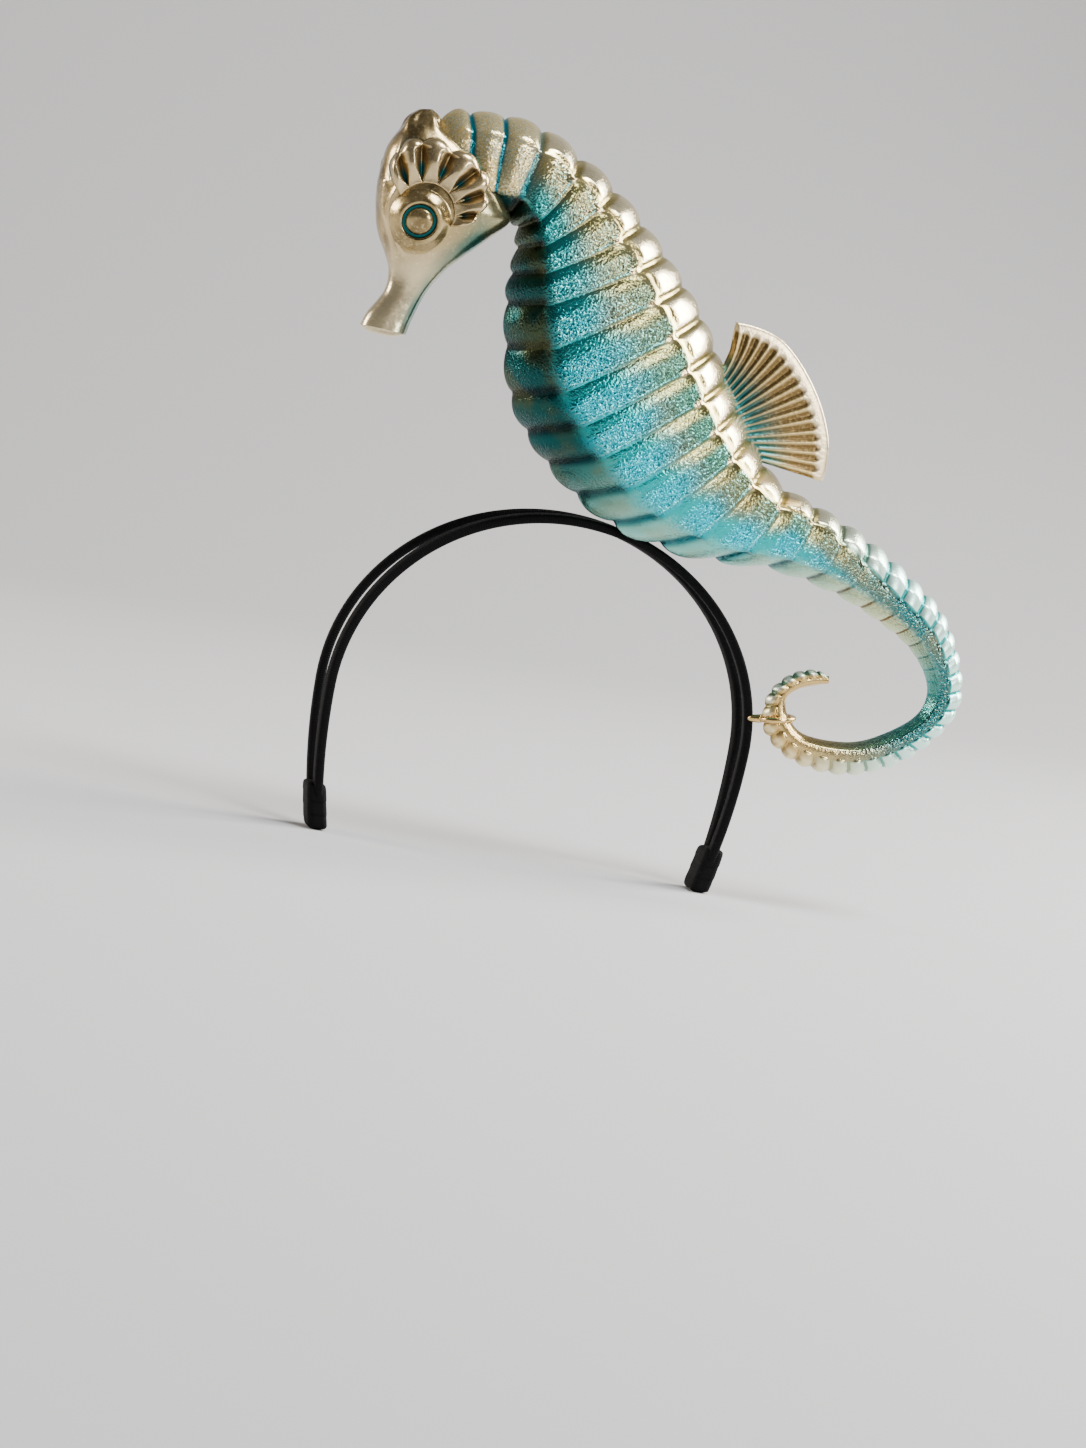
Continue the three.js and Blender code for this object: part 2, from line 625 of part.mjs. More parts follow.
const seahorse = new THREE.Group();
seahorse.position.copy(SEAHORSE_PLACE);
seahorse.rotation.y = -SEAHORSE_LEAN;
fascinator.add(seahorse);

let head = makeHead();
const headSpace = makeHead(GAP);
for (const side of [FRONT, REAR]) {
  const sideName = side === FRONT ? "left" : "right";
  head = head.add(solidOf(makeEyeRing(side))).subtract(solidOf(makeEye(side, GAP)));
  seahorse.add(named(`eye_${sideName}`, makeEye(side), BRONZE));
  const fan = solidOf(makeFan(side)).subtract(headSpace).subtract(solidOf(makeEyeRing(side, GAP)));
  seahorse.add(named(`cheek_fan_${sideName}`, geometryOf(fan), GOLD));
}
seahorse.add(named("head", geometryOf(head), BRONZE));
seahorse.add(named("dorsal_fin", makeFin(), GOLD));
seahorse.add(named("tail_tie", geometryOf(makeTie()), GOLD));

let body = solidOf(makeBody()).subtract(headSpace).subtract(bandSlot(seahorse));
body = body.subtract(solidOf(makeFin(GAP)));
for (const side of [FRONT, REAR]) body = body.subtract(solidOf(makeFan(side, GAP)));
seahorse.add(named("body", geometryOf(body), TURQUOISE));

export default fascinator;
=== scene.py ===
"""A fascinator: a painted seahorse with a ribbed fin, standing on a double headband wrapped in ribbon.

The shapes are worked out in millimetres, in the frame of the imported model: +Z up along the wearer's head,
+X to the wearer's left, the front at -Y, and the crown of the head at the origin.
"""

import bpy
import numpy as np
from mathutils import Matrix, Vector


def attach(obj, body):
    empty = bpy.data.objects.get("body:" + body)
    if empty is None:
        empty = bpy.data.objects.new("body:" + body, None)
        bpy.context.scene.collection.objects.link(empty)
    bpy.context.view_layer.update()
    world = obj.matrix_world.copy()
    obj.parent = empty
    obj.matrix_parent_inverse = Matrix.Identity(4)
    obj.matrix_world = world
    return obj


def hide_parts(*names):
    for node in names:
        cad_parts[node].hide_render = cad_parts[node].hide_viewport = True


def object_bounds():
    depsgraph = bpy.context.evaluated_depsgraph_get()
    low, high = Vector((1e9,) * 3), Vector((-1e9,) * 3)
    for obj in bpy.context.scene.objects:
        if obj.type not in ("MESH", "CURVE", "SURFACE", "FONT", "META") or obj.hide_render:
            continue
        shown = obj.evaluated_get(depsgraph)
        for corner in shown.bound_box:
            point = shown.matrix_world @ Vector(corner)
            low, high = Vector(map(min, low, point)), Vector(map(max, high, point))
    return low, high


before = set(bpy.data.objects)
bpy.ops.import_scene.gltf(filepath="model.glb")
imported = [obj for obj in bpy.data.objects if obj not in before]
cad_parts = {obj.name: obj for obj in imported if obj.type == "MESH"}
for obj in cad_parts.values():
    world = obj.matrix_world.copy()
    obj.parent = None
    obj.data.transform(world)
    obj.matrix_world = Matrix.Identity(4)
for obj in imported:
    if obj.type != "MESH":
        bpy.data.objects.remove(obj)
cad_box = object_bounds()


# The headband is two springy bands over the crown, each a flat core wound in black woven ribbon.
# They stand apart on top of the head and close up towards the ends behind the ears, where a short
# wrap of the same ribbon binds the two together.

MM = 0.001
ARCH_HALF_WIDTH = 76.3
ARCH_RISE = 71.5
LEG_LENGTH = 52
LEG_BEND_RADIUS = 225
BAND_WIDTH = 6
BAND_THICKNESS = 3.4
BAND_CORNER = 1.2
CROWN_OFFSET = 11
END_OFFSET = 3.3
SPREAD_POWER = 2.4
REAR_EXTRA_WIDTH = 1
HEAD_HALF_LENGTH = 95
FRONT = -1
REAR = 1
RIBBON_RIB_PITCH = 0.85
RIBBON_RIB_HEIGHT = 0.06
SELVEDGE_HEIGHT = 0.12
SELVEDGE_POWER = 6
WRAP_LENGTH = 15
WRAP_GAP = 0.3
WRAP_WALL = 1.2
WRAP_CORNER = 2.2
WRAP_END = 1.6
WRAP_TURN_PITCH = 5
WRAP_LAP = 0.25
WRAP_PINCH = 0.45
WRAP_PINCH_LENGTH = 0.5
RIBBON_BLACK = (2, 2, 3)
RIBBON_WORN = (20, 19, 23)


def loft(name, rings, loop=False, **fields):
    """A closed mesh through rings of points.

    Rings is an array (ring, place, xyz) in millimetres: each place is joined to the next place round its
    ring and to the same place on the next ring. A loop joins the last ring to the first, and otherwise each
    end ring closes on its middle point. Each field is a number for every place, kept as a vertex attribute.
    """
    count, size = rings.shape[:2]
    grid = np.arange(count * size).reshape(count, size)
    here, ahead = (grid, np.roll(grid, -1, 0)) if loop else (grid[:-1], grid[1:])
    quads = np.stack([here, np.roll(here, -1, 1), np.roll(ahead, -1, 1), ahead], -1).reshape(-1, 4)
    points = rings.reshape(-1, 3)
    values = {key: np.broadcast_to(field, (count, size)).ravel() for key, field in fields.items()}
    corners, starts = quads.ravel(), np.arange(len(quads)) * 4
    if not loop:
        ends = np.stack([grid[0][::-1], grid[-1]])
        middles = len(points) + np.arange(2)[:, None]
        fans = np.stack([ends, np.roll(ends, -1, 1), np.broadcast_to(middles, ends.shape)], -1)
        fans = fans.reshape(-1, 3)
        points = np.vstack([points, rings[[0, -1]].mean(1)])
        values = {key: np.append(field, field[ends].mean(1)) for key, field in values.items()}
        starts = np.append(starts, len(corners) + np.arange(len(fans)) * 3)
        corners = np.append(corners, fans.ravel())
    first, second, third = (points[quads[:, k]] for k in (0, 1, 2))
    if np.einsum("ij,ij->", first, np.cross(second, third)) < 0:
        sizes = np.diff(np.append(starts, len(corners)))
        within = np.arange(len(corners)) - np.repeat(starts, sizes)
        corners = corners[np.repeat(starts + sizes - 1, sizes) - within]
    mesh = bpy.data.meshes.new(name)
    mesh.vertices.add(len(points))
    mesh.vertices.foreach_set("co", (points * MM).ravel())
    mesh.loops.add(len(corners))
    mesh.loops.foreach_set("vertex_index", corners)
    mesh.polygons.add(len(starts))
    mesh.polygons.foreach_set("loop_start", starts)
    mesh.update(calc_edges=True)
    mesh.shade_smooth()
    for key, field in values.items():
        mesh.attributes.new(key, "FLOAT", "POINT").data.foreach_set("value", field.astype(np.float32))
    piece = bpy.data.objects.new(name, mesh)
    bpy.context.collection.objects.link(piece)
    return piece


def fit(piece, material, slot, *nodes):
    """Give a piece its material, and let it stand for its CAD nodes."""
    piece.data.materials.append(material)
    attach(piece, "root")
    if nodes:
        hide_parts(*nodes)


class Socket:
    """A value in a material's nodes, so that maths on it is written as an expression."""

    def __init__(self, tree, socket):
        self.tree, self.socket = tree, socket

    def node(self, kind, settings=None, inputs=None, output=0):
        """Add a node of this kind, set it up, fill or link its inputs, and give one of its outputs."""
        made = self.tree.nodes.new(kind)
        for key, value in (settings or {}).items():
            setattr(made, key, value)
        for key, value in (inputs or {}).items():
            if isinstance(value, Socket):
                self.tree.links.new(value.socket, made.inputs[key])
            else:
                made.inputs[key].default_value = value
        return Socket(self.tree, made.outputs[output])

    def maths(self, operation, *values):
        return self.node("ShaderNodeMath", {"operation": operation}, dict(enumerate(values)))

    def __add__(self, other):
        return self.maths("ADD", self, other)

    def __sub__(self, other):
        return self.maths("SUBTRACT", self, other)

    def __rsub__(self, other):
        return self.maths("SUBTRACT", other, self)

    def __mul__(self, other):
        return self.maths("MULTIPLY", self, other)

    def __truediv__(self, other):
        return self.maths("DIVIDE", self, other)

    __radd__ = __add__
    __rmul__ = __mul__

    def wave(self):
        """Half a sine: 0 at whole numbers and 1 midway between them."""
        return self.maths("ABSOLUTE", self.maths("SINE", self * np.pi))

    def rise(self, low, high):
        """0 below low, 1 above high, with a smooth step between."""
        settings = {"interpolation_type": "SMOOTHSTEP"}
        return self.node("ShaderNodeMapRange", settings, {"Value": self, "From Min": low, "From Max": high})

    def noise(self, scale, detail=2.0, swirl=0.0):
        """Noise on this place, with scale in features per metre, and swirl to curl it."""
        inputs = {"Vector": self, "Scale": scale, "Detail": detail, "Distortion": swirl}
        return self.node("ShaderNodeTexNoise", {}, inputs)

    def flat(self, red, green, blue):
        """A plain colour, given in screen values."""
        made = self.node("ShaderNodeRGB")
        made.socket.default_value = srgb(red, green, blue)
        return made

    def tint(self, colour, share):
        """This colour mixed towards another by a share."""
        inputs = {"Factor": share, 6: self, 7: colour}
        return self.node("ShaderNodeMix", {"data_type": "RGBA"}, inputs, 2)


def srgb(red, green, blue):
    """A colour in screen values, 0 to 255, turned into linear light."""
    return (*(np.array([red, green, blue]) / 255) ** 2.2, 1.0)


def new_material(name):
    """A node material: its Principled shader, and the Object coordinates to draw on."""
    material = bpy.data.materials.new(name)
    material.use_nodes = True
    tree = material.node_tree
    shader = next(n for n in tree.nodes if n.type == "BSDF_PRINCIPLED")
    return material, shader, Socket(tree, tree.nodes.new("ShaderNodeTexCoord").outputs["Object"])


def feed(shader, name, value):
    """Link a varying value to one of the shader's inputs, or set a constant there."""
    if isinstance(value, Socket):
        value.tree.links.new(value.socket, shader.inputs[name])
    else:
        shader.inputs[name].default_value = value


def attribute(place, name):
    """A vertex attribute of the piece."""
    return place.node("ShaderNodeAttribute", {"attribute_name": name}, output="Fac")


def raise_by(shader, height, distance, strength=1.0):
    """Bump: tilt the shading as if the surface rose by height times distance, in metres."""
    inputs = {"Height": height, "Distance": distance, "Strength": strength}
    feed(shader, "Normal", height.node("ShaderNodeBump", {}, inputs))


def make_ribbon():
    """Black woven ribbon: ribs across its length, a dull face, and a little wear."""
    material, shader, place = new_material("black_ribbon")
    along = attribute(place, "along")
    rib = (along / RIBBON_RIB_PITCH).wave()
    thread = place.noise(2600, 3)
    wear = place.noise(120, 2)
    colour = place.flat(*RIBBON_BLACK)
    feed(shader, "Base Color", colour.tint(srgb(*RIBBON_WORN), rib * thread * 0.5 + wear * 0.08))
    feed(shader, "Roughness", 0.62 + thread * 0.25)
    feed(shader, "Specular IOR Level", 0.12)
    raise_by(shader, rib * 0.7 + thread * 0.5, 0.00012, 0.8)
    return material


def band_path(turn, side):
    """The inner face of a band: an elliptical arch, then legs that bend in on a large radius.

    Turn runs from -1 at the wearer's right end to 1 at the left end, in proportion to the length. The band
    swings from its place at the crown to its place at the ends by a power of the depth below the crown.
    """
    half_width = ARCH_HALF_WIDTH + (REAR_EXTRA_WIDTH if side == REAR else 0)
    arch_length = np.pi / 2 * (half_width + ARCH_RISE) / 2
    along = np.abs(turn) * (arch_length + LEG_LENGTH)
    angle = np.minimum(along / arch_length, 1) * np.pi / 2
    below = np.maximum(along - arch_length, 0)
    x = half_width * np.sin(angle) - below**2 / (2 * LEG_BEND_RADIUS)
    z = -ARCH_RISE * (1 - np.cos(angle)) - below
    spread = 1 - (-z / (ARCH_RISE + LEG_LENGTH)) ** SPREAD_POWER
    y = side * (END_OFFSET + (CROWN_OFFSET - END_OFFSET) * spread)
    return np.stack([np.sign(turn) * x, y, z], -1), np.sign(turn) * along


def unit(vectors):
    """Vectors scaled to a length of 1."""
    return vectors / np.linalg.norm(vectors, axis=-1, keepdims=True)


def rounded_outline(half_width, low, high, corner, steps):
    """A rectangle with round corners, as (across, out) pairs: quarter circles joined by straight sides."""
    turn = np.linspace(0, np.pi / 2, steps)
    centres = [(1, 1), (-1, 1), (-1, -1), (1, -1)]
    parts = []
    for quarter, (right, up) in enumerate(centres):
        angle = turn + quarter * np.pi / 2
        across = right * (half_width - corner) + corner * np.cos(angle)
        middle, half = (high + low) / 2, (high - low) / 2
        parts.append(np.stack([across, middle + up * (half - corner) + corner * np.sin(angle)], -1))
    return np.vstack(parts)


def make_band(name, side, steps=1500):
    """The band's outline carried along its path, with a corded selvedge of small scallops on each edge."""
    turn = np.linspace(-1, 1, steps)
    place, along = band_path(turn, side)
    tangent = unit(np.gradient(place, axis=0))
    above = np.maximum(place[:, 2] + ARCH_RISE, 0)
    size = np.array([ARCH_HALF_WIDTH, HEAD_HALF_LENGTH, ARCH_RISE]) ** 2
    out = np.stack([place[:, 0], place[:, 1], above], -1) / size
    across = unit(np.cross(tangent, out))
    out = unit(np.cross(across, tangent))
    outline = rounded_outline(BAND_WIDTH / 2, 0, BAND_THICKNESS, BAND_CORNER, 6)
    rib = np.abs(np.sin(np.pi * along / RIBBON_RIB_PITCH))[:, None]
    edge = (np.abs(outline[:, 0]) / (BAND_WIDTH / 2)) ** SELVEDGE_POWER
    middle = outline - [0, BAND_THICKNESS / 2]
    swell = RIBBON_RIB_HEIGHT * rib + SELVEDGE_HEIGHT * rib * edge
    grown = outline + unit(middle) * (swell - RIBBON_RIB_HEIGHT)[..., None]
    rings = place[:, None] + across[:, None] * grown[..., :1] + out[:, None] * grown[..., 1:]
    return loft(name, rings, along=along[:, None])


def make_wrap(name, end, steps=90):
    """A flat sleeve of ribbon round both ends: its outline carried down the leg.

    A slanted saw tooth laps it like wound ribbon, and a falling exponential pinches it in at both ends.
    """
    leg_share = LEG_LENGTH / (np.pi / 2 * (ARCH_HALF_WIDTH + ARCH_RISE) / 2 + LEG_LENGTH)
    turn = np.linspace(1 - leg_share * WRAP_LENGTH / LEG_LENGTH, 1, steps)
    place, along = band_path(end * turn, FRONT)
    closing = np.linspace(0, 1, 12)[1:]
    place = np.vstack([place, place[-1] - np.outer(closing * (WRAP_END + WRAP_GAP), [0, 0, 1])])
    along = np.append(np.abs(along), np.abs(along[-1]) + closing * WRAP_END)
    half_width = END_OFFSET + BAND_WIDTH / 2 + WRAP_GAP + WRAP_WALL
    high = BAND_THICKNESS + WRAP_GAP + WRAP_WALL + REAR_EXTRA_WIDTH
    outline = rounded_outline(half_width, -WRAP_GAP - WRAP_WALL, high, WRAP_CORNER, 8)
    low = along - along[0]
    slant = low[:, None] / WRAP_TURN_PITCH + outline[None, :, 0] / (4 * half_width)
    lap = WRAP_LAP * (slant % 1)
    ends = np.minimum(low, low[-1] - low)[:, None]
    shrink = 1 - WRAP_PINCH * np.exp(-ends / WRAP_PINCH_LENGTH)
    middle = np.array([0, (high - WRAP_GAP - WRAP_WALL) / 2])
    grown = middle + (outline - middle) * shrink[..., None]
    grown = grown - unit(outline - middle) * (WRAP_LAP - lap)[..., None]
    rings = np.stack([
        place[:, :1] + end * grown[..., 1],
        grown[..., 0],
        np.broadcast_to(place[:, 2:], grown.shape[:2]),
    ], -1)
    return loft(name, rings, along=along[:, None])


black_ribbon = make_ribbon()
fit(make_band("band_front_ribbon", FRONT), black_ribbon, "ribbon", "band_front")
fit(make_band("band_rear_ribbon", REAR), black_ribbon, "ribbon", "band_rear")
fit(make_wrap("end_wrap_right_ribbon", -1), black_ribbon, "ribbon", "end_wrap_right")
fit(make_wrap("end_wrap_left_ribbon", 1), black_ribbon, "ribbon", "end_wrap_left")


# Neck, trunk and tail are one carved core with a hard skin, ringed from the nape to the tip of the tail.
# Tiles run down the back, a cord edges them, ribs cross the flanks, and folds cross the belly. The paint is
# hammered turquoise foil, rubbed with pale gold on the raised parts, and gold alone at the end of the tail.

SEAHORSE_PLACE = np.array([-0.4, -17, -1])
SEAHORSE_LEAN = np.radians(10.4)

# One section a row: the ends on the back (x, z) and on the belly (x, z), the half width, how deep the
# belly folds are, and the length of one ring along the back
BODY_ROWS = np.array([
    (-54.5, 143.5, -51.5, 118, 8, 0.5, 16),
    (-46, 149, -45, 114, 13, 0.5, 15),
    (-39.5, 148.5, -39, 113.5, 15, 0.5, 12.5),
    (-27, 147, -33, 113, 16, 0.6, 13.5),
    (-13.5, 142.5, -27.5, 111.5, 17, 0.7, 16),
    (0.5, 132.5, -24.5, 107, 18, 0.8, 18),
    (14.5, 119.5, -25, 99, 19.5, 0.8, 16.5),
    (31.5, 97.5, -28, 80.5, 23, 0.8, 13),
    (45, 75.5, -26, 48, 25.5, 0.9, 13),
    (55, 51.5, -11, 22, 26, 1, 11.4),
    (63.5, 32.5, 12, 1.5, 24, 1.5, 11),
    (74.5, 16.5, 43, -10.5, 19, 1.7, 12.4),
    (89, 8, 70.5, -14.5, 14.5, 0.9, 12.6),
    (107.5, -4, 95, -23.5, 11, 0.6, 11.4),
    (125.5, -19.5, 114.5, -35.5, 9, 0.4, 9),
    (138, -34, 126, -46, 8, 0.2, 8),
    (144.5, -55.5, 131.5, -58.5, 6.6, 0, 7.7),
    (141, -71, 128, -68.5, 6.5, 0, 7.3),
    (123.5, -85.5, 115.5, -75.5, 6.3, 0, 7.2),
    (102.5, -90.5, 102, -78.5, 6.3, 0, 7.1),
    (82, -85.5, 85.5, -75.5, 5.6, 0, 6.8),
    (70.5, -74, 79, -68.5, 4.8, 0, 6.2),
    (71, -61.5, 78.5, -62, 4, 0, 5.6),
    (79, -53.7, 83, -58.8, 3.6, 0, 5),
    (88, -51.8, 89.5, -57.4, 3, 0, 4.6),
    (94, -53.8, 93.6, -57, 2, 0, 4.4),
])
RING_RELIEF = 0.16
STEPS_PER_RING = 15
HALF_STEPS = 62

# Corners of half a section: the back, the shoulder ridge, the flank ridge and the keel
CORNER_TURN = np.radians([0, 54, 124, 180])
CORNER_HEIGHT = [1, 0.6, -0.58, -1]
CORNER_SIDE = [0, 0.68, 0.86, 0]
SECTION_ROUNDNESS = 0.45

# Shares of the length over which one stretch of the body turns into the next, in shape and in paint
NECK_END = (0.13, 0.19)
CORD_CLIMB = (0.26, 0.33)
TAIL_START = (0.46, 0.56)
TAIL_PAINT_START = (0.45, 0.56)
TIP_PAINT_START = (0.7, 0.82)

# How far a ring lags behind the back, in rings, at places round the body, and what the tail and the neck
# take off that
LAG_AROUND = [0, 1, 1.5, 2, 3]
LAG = [0, 0.06, 0.2, 0.28, 0.05]
TAIL_LAG_LOSS = 0.6
NECK_LAG_LOSS = 1.7

# Where the cord runs round the body, and heights of the relief in shares of RING_RELIEF
CORD_DROP = 0.1
TAIL_TILE_REACH = 0.46
TILE_SCALLOP = 0.1
KNOB_WIDTH = 0.16
KNOB_MEAN = 0.4
TILE_HEIGHT = 1.3
TILE_GROOVE = 0.16
CORD_WIDTH = 0.045
CORD_HEIGHT = 0.12
KNOB_HEIGHT = 0.5
RIB_HEIGHT = 0.15
RIB_MEAN = 0.4
RING_LINE_AT = 0.965
RING_LINE_HEIGHT = 0.1
BARREL_HEIGHT = 1.3
SCALLOP_HEIGHT = 1.5
RIDGE_HEIGHT = 0.05
RIDGE_SWELL = 0.2
FOLD_HEIGHT = 1.2
FOLD_FLOOR = 0.9

# Paint colours of the flanks, belly, tiles, neck plates and tip, some of them painted light and shade, in
# screen values from 0 to 255
UPPER_GOLD = (172, 166, 120)
UPPER_TEAL = (44, 150, 146)
LOWER_OLIVE = (70, 118, 98)
LOWER_TEAL = (0, 138, 150)
# A painted reflection of light: bright turquoise for the glow on the lower middle of the flank
GLOW_HIGHLIGHT_TURQUOISE = (0, 182, 200)
TAIL_TEAL = (0, 98, 106)
RIB_GOLD = (146, 138, 84)
RIB_TEAL = (10, 158, 156)
# Painted shade in the foil's hollows, then painted glints and a painted sheen on its crests
FOIL_PIT_SHADE = (2, 62, 68)
FOIL_GLINT = (128, 238, 230)
FOIL_SHINE = (150, 250, 242)
TAIL_DUST = (184, 166, 100)
RUBBED_BRONZE = (140, 116, 62)
RING_LINE = (116, 210, 208)
# A painted shadow just past each line between rings
RING_SHADE = (8, 54, 52)
# Painted shade: the dark teal of the front belly folds, which face away from the light
SHADED_FOLD_ROOT = (0, 38, 40)
SHADED_FOLD_CREST = (2, 72, 72)
FOLD_BRONZE = (76, 74, 34)
PALE_FOLD_ROOT = (0, 108, 116)
PALE_FOLD_CREST = (124, 206, 194)
PALE_FOLD_GOLD = (166, 158, 104)
STRIP_ROOT = (104, 78, 38)
STRIP_CREST = (194, 206, 160)
STRIP_TEAL = (24, 146, 148)
# The middle of the tiles, on the trunk and on the tail, is pale paint with a painted highlight
TILE_GOLD_AND_HIGHLIGHT = (254, 240, 198)
TILE_GRIT = (206, 164, 84)
TAIL_TILE_AND_HIGHLIGHT = (200, 250, 240)
TILE_EDGE = (188, 172, 110)
TAIL_TILE_EDGE = (36, 152, 150)
CORD_GOLD = (226, 206, 150)
NECK_GOLD = (248, 208, 124)
NECK_SHADE = (24, 124, 126)
NECK_BRONZE = (210, 166, 84)
NECK_TEAL = (20, 124, 130)
NECK_GLINT = (250, 240, 202)
NECK_SEAM = (0, 112, 124)
TIP_GOLD = (196, 166, 106)
TIP_CREST = (240, 218, 164)
TIP_KNOB_ROOT = (30, 110, 98)
TIP_KNOB_HIGHLIGHT = (226, 240, 226)


def through(rows, share):
    """A Catmull-Rom curve through table rows: share 0 lies on the first row and share 1 on the last."""
    padded = np.vstack([2 * rows[:1] - rows[1:2], rows, 2 * rows[-1:] - rows[-2:-1]])
    at = np.clip(share, 0, 1) * (len(rows) - 1)
    row = np.minimum(at.astype(int), len(rows) - 2)
    t = (at - row)[..., None]
    before, start, end, after = (padded[row + k] for k in range(4))
    linear = (end - before) * t
    square = (2 * before - 5 * start + 4 * end - after) * t**2
    cube = (3 * start - before - 3 * end + after) * t**3
    return start + (linear + square + cube) / 2


def smooth(low, high, value):
    """0 below low, 1 above high, with a smooth step between."""
    t = np.clip((value - low) / (high - low), 0, 1)
    return t * t * (3 - 2 * t)


def bell(value, width):
    """A bell curve: 1 where the value is 0, falling off over a width."""
    return np.exp(-((value / width) ** 2))


def in_place(points):
    """Seahorse points, in its own upright plane, leaned over and moved to where it stands on the band."""
    x, y, z = np.moveaxis(points, -1, 0)
    cos, sin = np.cos(SEAHORSE_LEAN), np.sin(SEAHORSE_LEAN)
    return np.stack([x * cos - z * sin, y, x * sin + z * cos], -1) + SEAHORSE_PLACE


def ring_counts(steps=4000):
    """Rings counted along the back: each step of the back over the length of a ring there, summed."""
    share = np.linspace(0, 1, steps)
    rows = through(BODY_ROWS, share)
    step = np.linalg.norm(np.diff(rows[:, :2], axis=0), axis=1) / rows[1:, 6]
    return share, np.append(0, np.cumsum(step))


def make_body():
    """Sections from belly to back, carried along the rows and raised by the tiles, cord, ribs and folds.

    Around is 0 on the back, 1 on the shoulder ridge, 2 on the flank ridge and 3 on the keel. A section
    mixes the straight-sided outline of those corners with an ellipse. Ring counts along the body, held back
    on the flanks so that each ring points towards the tail, and the place within a ring shapes the relief:
    a power of half a sine for a tile, a neck plate, a scallop of the tail or a belly fold, and a bell curve
    for the cord, its knobs and the line between two rings. The cord dips at each knob, so the tiles' edge
    is scalloped.
    """
    trace, counts = ring_counts()
    count = np.linspace(0, counts[-1], int(counts[-1] * STEPS_PER_RING))
    share = np.interp(count, counts, trace)
    rows = through(BODY_ROWS, share)
    half = (rows[:, :2] - rows[:, 2:4]) / 2
    middle = rows[:, 2:4] + half
    depth = np.linalg.norm(half, axis=1)[:, None]
    width, fold_strength, length = rows[:, 4:5], np.maximum(rows[:, 5:6], 0), rows[:, 6:7]

    down = np.linspace(0, 3, HALF_STEPS + 1)
    around = np.append(down, down[-2:0:-1])
    hand = np.append(np.ones(HALF_STEPS + 1), -np.ones(HALF_STEPS - 1))
    corner = np.arange(4)
    turn = np.interp(around, corner, CORNER_TURN)
    straight_height, straight_side = (np.interp(around, corner, c) for c in (CORNER_HEIGHT, CORNER_SIDE))
    height = straight_height + (np.cos(turn) - straight_height) * SECTION_ROUNDNESS
    side = (straight_side + (np.sin(turn) - straight_side) * SECTION_ROUNDNESS) * hand

    share = share[:, None]
    neck = 1 - smooth(*NECK_END, share)
    tail = smooth(*TAIL_START, share)
    trunk = (1 - tail) * (1 - neck)
    lag = np.interp(around, LAG_AROUND, LAG) * (1 - TAIL_LAG_LOSS * tail - NECK_LAG_LOSS * neck)
    ring = count[:, None] - lag
    within = ring % 1
    bump = np.sin(np.pi * within)
    knob = bell(np.minimum(within, 1 - within), KNOB_WIDTH)
    cord_at = 1 + CORD_DROP * (1 - smooth(*CORD_CLIMB, share)) + TAIL_TILE_REACH * tail
    from_cord = around - cord_at - TILE_SCALLOP * trunk * (knob - KNOB_MEAN)
    tiles = (1 - smooth(-0.15, -0.06, from_cord)) * (TILE_HEIGHT * bump**0.5 - 1)
    tiles = tiles - TILE_GROOVE * bell(from_cord + 0.08, 0.035)
    cord = bell(from_cord, CORD_WIDTH) * (CORD_HEIGHT + KNOB_HEIGHT * knob)
    flank = smooth(0.04, 0.12, from_cord) * (1 - smooth(1.85, 2, around))
    rib = smooth(0, 0.18, within) * (1 - smooth(0.3, 0.65, within))
    line = bell(within - RING_LINE_AT, 0.022)
    ribs = flank * (RIB_HEIGHT * (rib - RIB_MEAN) + RING_LINE_HEIGHT * line)
    barrel = (1 - smooth(1.75, 2, around)) * (BARREL_HEIGHT * bump**0.35 - 1)
    scallop = (1 - smooth(-0.1, 0.1, from_cord)) * (SCALLOP_HEIGHT * bump**0.6 - 1)
    ridge = bell(around - 2, 0.1) * (RIDGE_HEIGHT + RIDGE_SWELL * bump) * (1 - tail)
    belly = smooth(1.98, 2.2, around) * fold_strength * (FOLD_HEIGHT * bump**0.7 - FOLD_FLOOR)
    relief = trunk * (tiles + cord + ribs) + neck * barrel + tail * scallop + ridge + belly
    relief = RING_RELIEF * length * relief

    reach = np.hypot(height * depth, side * width)
    grown = 1 + relief / np.maximum(reach, 0.5)
    flat = middle[:, None] + half[:, None] * (height * grown)[..., None]
    points = np.stack([flat[..., 0], side * width * grown, flat[..., 1]], -1)
    fields = {"ring": ring, "around": around[None, :], "from_cord": from_cord, "share": share}
    return loft("seahorse_body", in_place(points), **fields)


